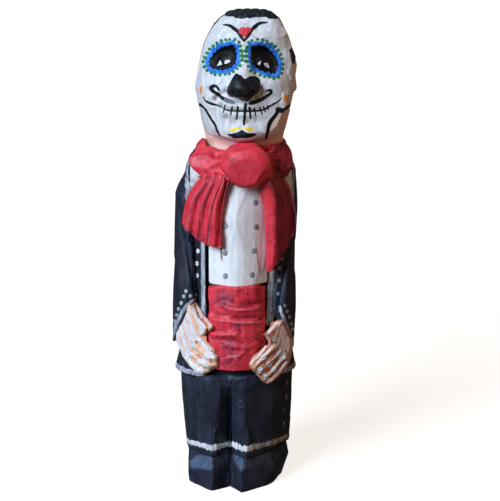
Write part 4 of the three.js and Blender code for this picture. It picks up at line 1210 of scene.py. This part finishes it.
def make_jacket():
    """The jacket: a silver hem and lapel, studs, and a lace edge on the left with a strip of painted shade
    beside it.
    """
    jacket = Carving("jacket_trunk", *STOCK["jacket"])
    lift_shoulder(jacket)
    draw_lapel(jacket)
    jacket.facets(SEEDS["jacket"], **CUTS["jacket"])
    jacket.smooth_along(rounds=1)
    x, y, z = jacket.points.T
    outside = np.maximum(OPENING[0] - x, x - OPENING[1])
    half = LAPEL_TRIM["width"] / 2
    lapel = np.abs(outside - LAPEL_TRIM["inset"] - half) - half
    lapel = np.maximum.reduce([lapel, z - OPENING_TOP, y - NECK_AXIS[1], x - NECK_AXIS[0]])
    hem = np.maximum(HEM_Z + HEM_TRIM["low"] - z, z - HEM_Z - HEM_TRIM["high"])
    hem = np.maximum(hem, np.where(y > 0, -FAR, -outside - HEM_TRIM["past_opening"]))
    edge, white = upper_trim(jacket)
    silver = least([lapel, hem, edge])
    studs = jacket.front(dots(jacket.place, JACKET_STUDS, **JACKET_STUD))
    # painted shade on a strip beside the lace edge, where the lapel turns from the light
    beside = jacket.place - (LEFT_LAPEL["trim_shade"], 0)
    half = LEFT_LAPEL["half_width"]
    jacket.coat("silver", silver)
    jacket.coat("lace", jacket.front(stroke(jacket.place, LEFT_LAPEL["line"], [half, half])))
    jacket.coat("trim_shade", jacket.front(stroke(beside, LEFT_LAPEL["line"], [half / 2, half / 2])))
    jacket.coat("collar", white)
    jacket.coat("stud", studs)
    jacket.build_up(np.minimum(silver, studs), **TRIM_COAT)
    jacket.finish(black_paint("jacket_paint", JACKET_COATS), "black_paint")


# Sleeves

CUFF_UP = {"slope": 1.7, "inward": 0.95, "forward": 0.3}
CUFF_TRIM = {"middle": 1.6, "half": 1.15}
CUFF_STEP = {"right": 0.0, "left": 3.4}
CUFF_STEP_TURN = (40, 100)
CUFF_STUDS = {"above": 4.9, "radius": 0.85, "step": 18, "tall": 0.7}
FRONT_STUD = {"radius": 1.6, "tall": 1.25}
SLEEVE_FOLD = {"depth": 1.3, "width": 1.9, "lip": 0.5, "lip_at": 4.5, "lip_width": 2.2}
FRONT_STUDS = {
    "right": [(190.5, 296), (197, 294.5), (186, 291), (184, 296.5), (181, 303), (178.5, 309),
              (176.5, 315), (174.5, 321)],
    "left": [(281.5, 258.7), (279.5, 268), (279.3, 280.5), (278.3, 293.8), (285, 305.7), (287.4, 311.4),
             (289.5, 317), (291.2, 323.8), (292.4, 329.5)],
}
FRONT_CUFF = {
    "right": [(195, 299.5), (189, 303.7), (182.6, 311.7), (176.2, 324.5), (173.5, 337), (172.8, 342)],
    "left": [(279.4, 307), (281.5, 313), (285, 322), (288.5, 331.5), (291.7, 341.5)],
}
FRONT_CUFF_WIDTH = [1.5, 1.8, 2.2]
SLEEVE_CREASE = {
    "right": [(177, 199), (180, 220), (184, 240), (188, 258), (192, 276), (195, 292)],
    "left": [(287, 252), (284, 270), (281, 290), (279, 308)],
}


def make_sleeve(side, seed, paint):
    """A sleeve with its elbow crease, and a slanting cuff with silver trim and a row of studs."""
    sign = SIDES[side]
    sleeve = Carving(side + "_sleeve", *STOCK["sleeve"])
    if side == "right":
        high = soft(sleeve.points[:, 2], SHOULDER_DROP["low"], SHOULDER_DROP["high"])
        sleeve.move(np.outer(high, SHOULDER_DROP["vector"]))
    gap, _ = to_line(sleeve.place, smooth_line(SLEEVE_CREASE[side]))
    sleeve.push(crease(gap, SLEEVE_FOLD) * sleeve.shown(SEEN_EARLY))
    sleeve.facets(seed, **CUTS["sleeve"])
    sleeve.smooth_along(rounds=1)
    up = np.array([sign * CUFF_UP["slope"] * CUFF_UP["inward"], CUFF_UP["slope"] * CUFF_UP["forward"], 1])
    up /= np.linalg.norm(up)
    above = sleeve.points @ up
    x, y, _ = (sleeve.points - sum(box_of(side + "_sleeve")) / 2).T
    turn = np.degrees(np.arctan2(x, -y))
    above -= above.min() + np.interp(sign * turn, CUFF_STEP_TURN, (0, CUFF_STEP[side]))
    trim = np.abs(above - CUFF_TRIM["middle"]) - CUFF_TRIM["half"]
    off = np.radians((turn + CUFF_STUDS["step"] / 2) % CUFF_STUDS["step"] - CUFF_STUDS["step"] / 2)
    rise = (above - CUFF_STUDS["above"]) * CUFF_STUDS["tall"]
    studs = np.hypot(off * np.hypot(x, y), rise) - CUFF_STUDS["radius"]
    studs = np.maximum(studs, sleeve.facing * FAR)
    studs = np.minimum(studs, sleeve.front(dots(sleeve.place, FRONT_STUDS[side], **FRONT_STUD)))
    edge, white = upper_trim(sleeve)
    cuff = sleeve.front(stroke(sleeve.place, FRONT_CUFF[side], FRONT_CUFF_WIDTH))
    trim = least([np.maximum(trim, sleeve.facing * FAR), edge, cuff])
    sleeve.coat("collar", white)
    sleeve.coat("silver", trim)
    sleeve.coat("stud", studs)
    sleeve.build_up(np.minimum(trim, studs), **TRIM_COAT)
    sleeve.finish(paint, "black_paint")


# Hands

HAND_STROKES = {
    "right": [[(194.5, 309), (197.5, 317), (201.4, 325), (201.6, 334)],
              [(187.4, 312.6), (190.5, 324), (193.5, 335)],
              [(183.5, 318.5), (188, 331.4), (191.7, 343.5)],
              [(180.5, 325), (183.2, 338.6), (188.6, 353.2)],
              [(177.4, 333), (178.9, 346), (184.4, 355), (194, 367.5)],
              [(199, 339.8), (204.4, 345.3), (208.6, 349)], [(207.4, 352.6), (215.9, 357.4)],
              [(199, 361), (205, 361), (207, 357)], [(192.3, 364.7), (201.4, 372.6)],
              [(200.5, 309.8), (208, 318.5), (212.6, 326)]],
    "left": [[(277.3, 322), (270.5, 329.7), (268, 333)], [(279.9, 322.9), (276, 334.8), (273.5, 340.7)],
             [(282, 325.4), (279.5, 339), (276, 347.5)], [(283.7, 328), (282.9, 340.7), (279.5, 352.6)],
             [(285.8, 332.2), (285.8, 343.3), (282.9, 355.2)],
             [(288, 337.3), (288.4, 345.8), (285.4, 357.7)], [(275, 344), (263.8, 356.3), (256.9, 363.8)],
             [(281, 350), (269.4, 363.8), (260, 371.3)], [(283.8, 355), (274.4, 368.8), (265.6, 378)],
             [(286.3, 361.9), (277, 374), (271, 380)], [(266.5, 345), (258.6, 355.5), (250.5, 363)]],
}
HAND_DABS = {
    "right": [(201.4, 325.3), (195.9, 338.6), (193, 347), (189.8, 354.4), (208.6, 349), (203.2, 360),
              (198, 362), (206, 366.5), (213.5, 356.5), (201.5, 368.5)],
    "left": [(274.5, 338.6), (263.8, 357), (269, 364.4), (274.2, 369.5), (260.5, 370.5), (266.3, 377.6),
             (279, 352.6), (282, 357)],
}
DAB_RADIUS = {"right": 2.3, "left": 2.7}
FINGER_SLITS = {
    "right": [[(197, 343), (207, 352), (216, 354)], [(193.8, 350.8), (203, 360), (213, 362)],
              [(190, 357.5), (198, 366.5), (206, 369)],
              [(196.5, 306), (201.4, 318), (207, 325), (207.7, 334)]],
    "left": [[(271.5, 344.5), (261, 356), (253.5, 363.5)], [(277.5, 349.5), (267, 360.5), (258, 367.8)],
             [(281.5, 355.5), (272, 366.5), (262, 375)], [(284.5, 361), (276, 372), (268, 380)],
             [(279, 321), (271, 328), (267.5, 331)]],
}
HAND_PULLS = {
    "right": [{"centre": (208, 327), "reach": 5.5, "vector": (3.2, -2.2, 0.5)},
              {"centre": (211, 367), "reach": 8, "vector": (3.8, -0.8, -1.0)}],
    "left": [{"centre": (261, 337), "reach": 5, "vector": (0, 0, 2.6)},
             {"centre": (264.5, 342), "reach": 4.5, "vector": (2.6, 0, 0)},
             {"centre": (260.5, 335.5), "reach": 4, "vector": (0.9, 0, 2.4)}],
}
LEFT_WRIST = {"line": [(262, 332), (280, 318.5), (284, 317), (294, 330)], "reach": 5, "squeeze": 0.65}
LEFT_FINGERS_EVENED = 30
FINGER_SLIT = {"depth": 1.0, "width": 1.3, "lip": 0.45, "lip_at": 3.4, "lip_width": 2}
ROSE_MARGIN = 1.4
DAB_TALL = 1.2
STROKE_WIDTH = {"right": [1.1, 1.5, 1.4], "left": [1.0, 1.4, 1.25]}


def make_hand(side, seed, paint):
    """A hand with slits between its fingers, and its bones drawn in strokes."""
    hand = Carving(side + "_hand", *STOCK["hand"])
    for pull in HAND_PULLS[side]:
        hand.pull(**pull)
    if side == "left":
        line = np.array(LEFT_WRIST["line"], float)
        above = np.interp(hand.place[:, 0], line[:, 0], line[:, 1]) - hand.place[:, 1]
        squeezed = np.maximum(above + LEFT_WRIST["reach"], 0) * LEFT_WRIST["squeeze"]
        hand.move(np.outer(squeezed * PIXEL, (0, 0, -1)))
        hand.flatten(LEFT_FINGERS_EVENED)
    height = np.zeros(len(hand.points))
    for slit in FINGER_SLITS[side]:
        gap, _ = to_line(hand.place, smooth_line(slit))
        height += crease(gap, FINGER_SLIT)
    hand.push(height * hand.shown(SEEN_EARLY))
    hand.facets(seed, **CUTS["hand"])
    hand.smooth_along(rounds=1)
    bone = least(stroke(hand.place, line, STROKE_WIDTH[side]) for line in HAND_STROKES[side])
    hand.coat("bone", hand.front(bone))
    hand.coat("rose", hand.front(bone - ROSE_MARGIN))
    hand.coat("knuckle", hand.front(dots(hand.place, HAND_DABS[side], DAB_RADIUS[side], DAB_TALL)))
    hand.finish(paint, "skin_paint")


# Trousers and shoes

CUFF_STRIPE = {"low": 1.8, "height": 2.4, "front_rise": 2.4, "front_height": 1.2, "front": 30}
# From this X in millimetres the cuff stripe is painted in its darker shaded copy
STRIPE_SHADE_FROM = 11
WAIST_FILL = {
    "below": (-7, -1), "height": 2.6, "rise": 3.0, "front": (14, 24), "upright": (0, 0.15), "level": 0.95,
}
# Painted reflection: bluish patches on the toes
PAINTED_SHOE_SHEEN = {
    "right": [(190.5, 461), (197, 455.5), (209, 456), (212.5, 460), (211.5, 469.5), (203, 468.5),
              (191, 467.5)],
    "left": [(233.5, 456), (239, 454.5), (245, 460), (243.5, 470.5), (238, 467)],
}
GROOVE = {
    "middle": 229.3, "top": (380, 412),
    "leg": {"depth": 3.2, "right": (207, 217, 1.2), "left": (262, 246.5, 1.4)},
    "shoe": {"depth": 2.4, "right": (205, 212, 0.0), "left": (249, 241.5, 0.0)},
}
SEAM = {"y": -6, "step": 8.6, "half_length": 2.1, "half_width": 0.7, "low": 33, "end": 3, "inner": 12}
SUIT_COATS = [
    # the cuff stripe: a bright copy where the light falls, and a darker copy as painted shade
    {"name": "silver", "tones": (SILVER_BRIGHT, BONE), "ragged": 3.6, "edge": 0.3},
    {"name": "trim_shade", "tones": (TRIM_SHADE_PALE, SILVER), "ragged": 3.6, "edge": 0.3},
    STUD_COAT,
]
# painted reflection on the toes
SHOE_COATS = [{"name": "sheen", "tones": (SCUFF_AND_SHEEN, PAINTED_BLUE_SHEEN), "ragged": 3.0, "edge": 1.0}]


def cut_groove(piece, side, cut):
    """Deepens the groove between the legs, up to the ridge in front of each."""
    outer, ridge, lift = cut[side]
    steps = sorted([(outer, 0.0), (ridge, lift), (GROOVE["middle"], -cut["depth"])])
    height = np.interp(piece.place[:, 0], *zip(*steps)) * soft(piece.place[:, 1], *GROOVE["top"])
    piece.move(np.outer(height * piece.shown(), (0, -1, 0)))


def make_leg(side, seed, paint):
    """A trouser leg, filled out under the jacket, with a stripe round its cuff, bright on one side with
    painted shade on the other, and stitches down its side.
    """
    leg = Carving(side + "_trouser_leg", *STOCK["leg"])
    low, high = box_of(side + "_trouser_leg")
    x, y, z = leg.points.T
    rim = soft(z - high[2], *WAIST_FILL["below"]) * (y < 0) * (1 - soft(np.abs(x), *WAIST_FILL["front"]))
    upright = soft(WAIST_FILL["level"] - leg.normals[:, 2], *WAIST_FILL["upright"])
    leg.push(WAIST_FILL["height"] * upright * rim)
    leg.move(np.outer(WAIST_FILL["rise"] * rim, (0, 0, 1)))
    cut_groove(leg, side, GROOVE["leg"])
    leg.facets(seed, **CUTS["leg"])
    leg.smooth_along(rounds=1)
    x, y, z = leg.points.T
    front = np.clip(-y / CUFF_STRIPE["front"], 0, 1)
    start = low[2] + CUFF_STRIPE["low"] + CUFF_STRIPE["front_rise"] * front
    end = start + CUFF_STRIPE["height"] + CUFF_STRIPE["front_height"] * front
    stripe = np.maximum(start - z, z - end)
    dash = (z - SEAM["low"] + SEAM["step"] / 2) % SEAM["step"] - SEAM["step"] / 2
    beyond = np.maximum(np.abs(dash) - SEAM["half_length"] + SEAM["half_width"], 0)
    seam = np.hypot(y - SEAM["y"], beyond) - SEAM["half_width"]
    inner = FAR * (SIDES[side] * x < SEAM["inner"])
    seam = np.maximum.reduce([seam, SEAM["low"] - SEAM["end"] - z, inner])
    # the stripe's bright copy where the light falls, and its darker copy as painted shade on the figure's
    # left
    leg.coat("silver", np.maximum(stripe, x - STRIPE_SHADE_FROM))
    leg.coat("trim_shade", np.maximum(stripe, STRIPE_SHADE_FROM - x))
    leg.coat("stud", seam)
    leg.build_up(np.minimum(stripe, seam), **TRIM_COAT)
    leg.finish(paint, "black_paint", blur=10)


def make_shoe(side, seed, paint):
    """A blocky shoe with a painted blue reflection on its toe."""
    shoe = Carving(side + "_shoe", *STOCK["shoe"])
    cut_groove(shoe, side, GROOVE["shoe"])
    shoe.facets(seed, **CUTS["shoe"])
    shoe.smooth_along(rounds=1)
    # painted reflection on the toe
    shoe.coat("sheen", shoe.front(patch(shoe.place, PAINTED_SHOE_SHEEN[side])))
    shoe.finish(paint, "black_paint", blur=10)


# Stage

WINDOW = {"turn": 42, "rise": 30, "power": 3.9, "spread": 28, "tone": (0.72, 0.845, 1.0)}
LAMP = {
    "place": (1.2, -0.3, 0.5), "target": (0, 0, 0.15), "size": 0.9, "power": 2.5, "tone": (1.0, 0.46, 0.16),
}
WARM_WHITE = (1.0, 0.96, 0.92, 1)
ROOM_LIGHT = 0.07
BACKDROP = (1, 1, 1, 1)
FLOOR = {"reach": 400, "glow": 0.84, "roughness": (0.8, 0.9), "blotch": 400, "bump": 0.02}
CARD = colour(178, 174, 168)
CARD_PALE = colour(182, 178, 172)


def aim(holder, place, target):
    """Sets a light at its place and turns it to its target."""
    holder.location = place
    holder.rotation_mode = "QUATERNION"
    holder.rotation_quaternion = (Vector(target) - Vector(place)).to_track_quat("-Z", "Y")
    bpy.context.scene.collection.objects.link(holder)


def make_camera():
    camera = bpy.data.cameras.new("camera")
    camera.sensor_width = SENSOR_WIDTH
    camera.lens = SENSOR_WIDTH * FOCAL_PIXELS / max(PHOTO_SIZE)
    holder = bpy.data.objects.new("camera", camera)
    holder.location = Vector(CAMERA_PLACE) / METRE
    holder.rotation_euler = [math.radians(90 - CAMERA_PITCH), 0, math.radians(-CAMERA_TURN)]
    bpy.context.scene.collection.objects.link(holder)
    bpy.context.scene.camera = holder


def make_lights():
    """Soft daylight from a window on the figure's right, a warm lamp on its left, and a dim room."""
    daylight = bpy.data.lights.new("window", "SUN")
    daylight.energy = WINDOW["power"]
    daylight.angle = math.radians(WINDOW["spread"])
    daylight.color = WINDOW["tone"]
    turn = math.radians(WINDOW["turn"])
    rise = math.radians(WINDOW["rise"])
    place = Vector((-math.sin(turn) * math.cos(rise), -math.cos(turn) * math.cos(rise), math.sin(rise)))
    aim(bpy.data.objects.new("window", daylight), place, (0, 0, 0))
    lamp = bpy.data.lights.new("room", "AREA")
    lamp.size = LAMP["size"]
    lamp.energy = LAMP["power"]
    lamp.color = LAMP["tone"]
    aim(bpy.data.objects.new("room", lamp), LAMP["place"], LAMP["target"])
    world = bpy.data.worlds.new("room_light")
    world.use_nodes = True
    tree = world.node_tree
    room = tree.nodes["Background"]
    room.inputs["Color"].default_value = WARM_WHITE
    room.inputs["Strength"].default_value = ROOM_LIGHT
    backdrop = tree.nodes.new("ShaderNodeBackground")
    backdrop.inputs["Color"].default_value = BACKDROP
    seen = tree.nodes.new("ShaderNodeLightPath")
    both = tree.nodes.new("ShaderNodeMixShader")
    tree.links.new(seen.outputs["Is Camera Ray"], both.inputs[0])
    tree.links.new(room.outputs[0], both.inputs[1])
    tree.links.new(backdrop.outputs[0], both.inputs[2])
    tree.links.new(both.outputs[0], tree.nodes["World Output"].inputs["Surface"])
    bpy.context.scene.world = world
    bpy.context.scene.view_settings.view_transform = "Standard"


def make_floor():
    """A wide pale card, bright enough to meet the white behind it."""
    floor_mesh = bpy.data.meshes.new("floor")
    work = bmesh.new()
    bmesh.ops.create_grid(work, x_segments=1, y_segments=1, size=FLOOR["reach"])
    work.to_mesh(floor_mesh)
    work.free()
    floor = bpy.data.objects.new("floor", floor_mesh)
    bpy.context.scene.collection.objects.link(floor)
    finish = Finish("floor_card", FLOOR["roughness"])
    card = finish.brushed(CARD, CARD_PALE, FLOOR["blotch"], (1, 1, 1))
    floor.data.materials.append(finish.done(card, FLOOR["bump"]))
    finish.shader.inputs["Emission Color"].default_value = WARM_WHITE
    finish.shader.inputs["Emission Strength"].default_value = FLOOR["glow"]
    floor.visible_diffuse = False
    floor.visible_glossy = False


# Assembly

def make_figure():
    red = red_paint()
    make_head()
    make_bow(red)
    make_shirt()
    make_sash(red)
    make_jacket()
    suit = black_paint("suit_paint", SUIT_COATS)
    sleeve = black_paint("sleeve_paint", [COLLAR_COAT, SILVER_COAT, STUD_COAT])
    shoe = black_paint("shoe_paint", SHOE_COATS)
    skins = {
        "right": hand_paint("right_hand_paint", (TAN, SKIN_WARM), (PINK, SKIN), (BONE, BONE_SHADE)),
        # the left hand is in darker, browner copies of the skin tones: painted shade
        "left": hand_paint("left_hand_shaded_paint", (TAN_SHADED, TAN_WARM_SHADED), (SKIN_RED, TAN_SHADED), (TAN_PALE_SHADED, SKIN)),
    }
    for step, side in enumerate(SIDES):
        make_sleeve(side, SEEDS["sleeve"] + step, sleeve)
        make_hand(side, SEEDS["hand"] + step, skins[side])
        make_leg(side, SEEDS["leg"] + step, suit)
        make_shoe(side, SEEDS["shoe"] + step, shoe)
    wood = dowel_wood()
    for name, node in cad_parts.items():
        if name.endswith(("dowel", "peg")):
            node.data.materials.clear()
            node.data.materials.append(wood)


make_camera()
make_lights()
make_floor()
make_figure()
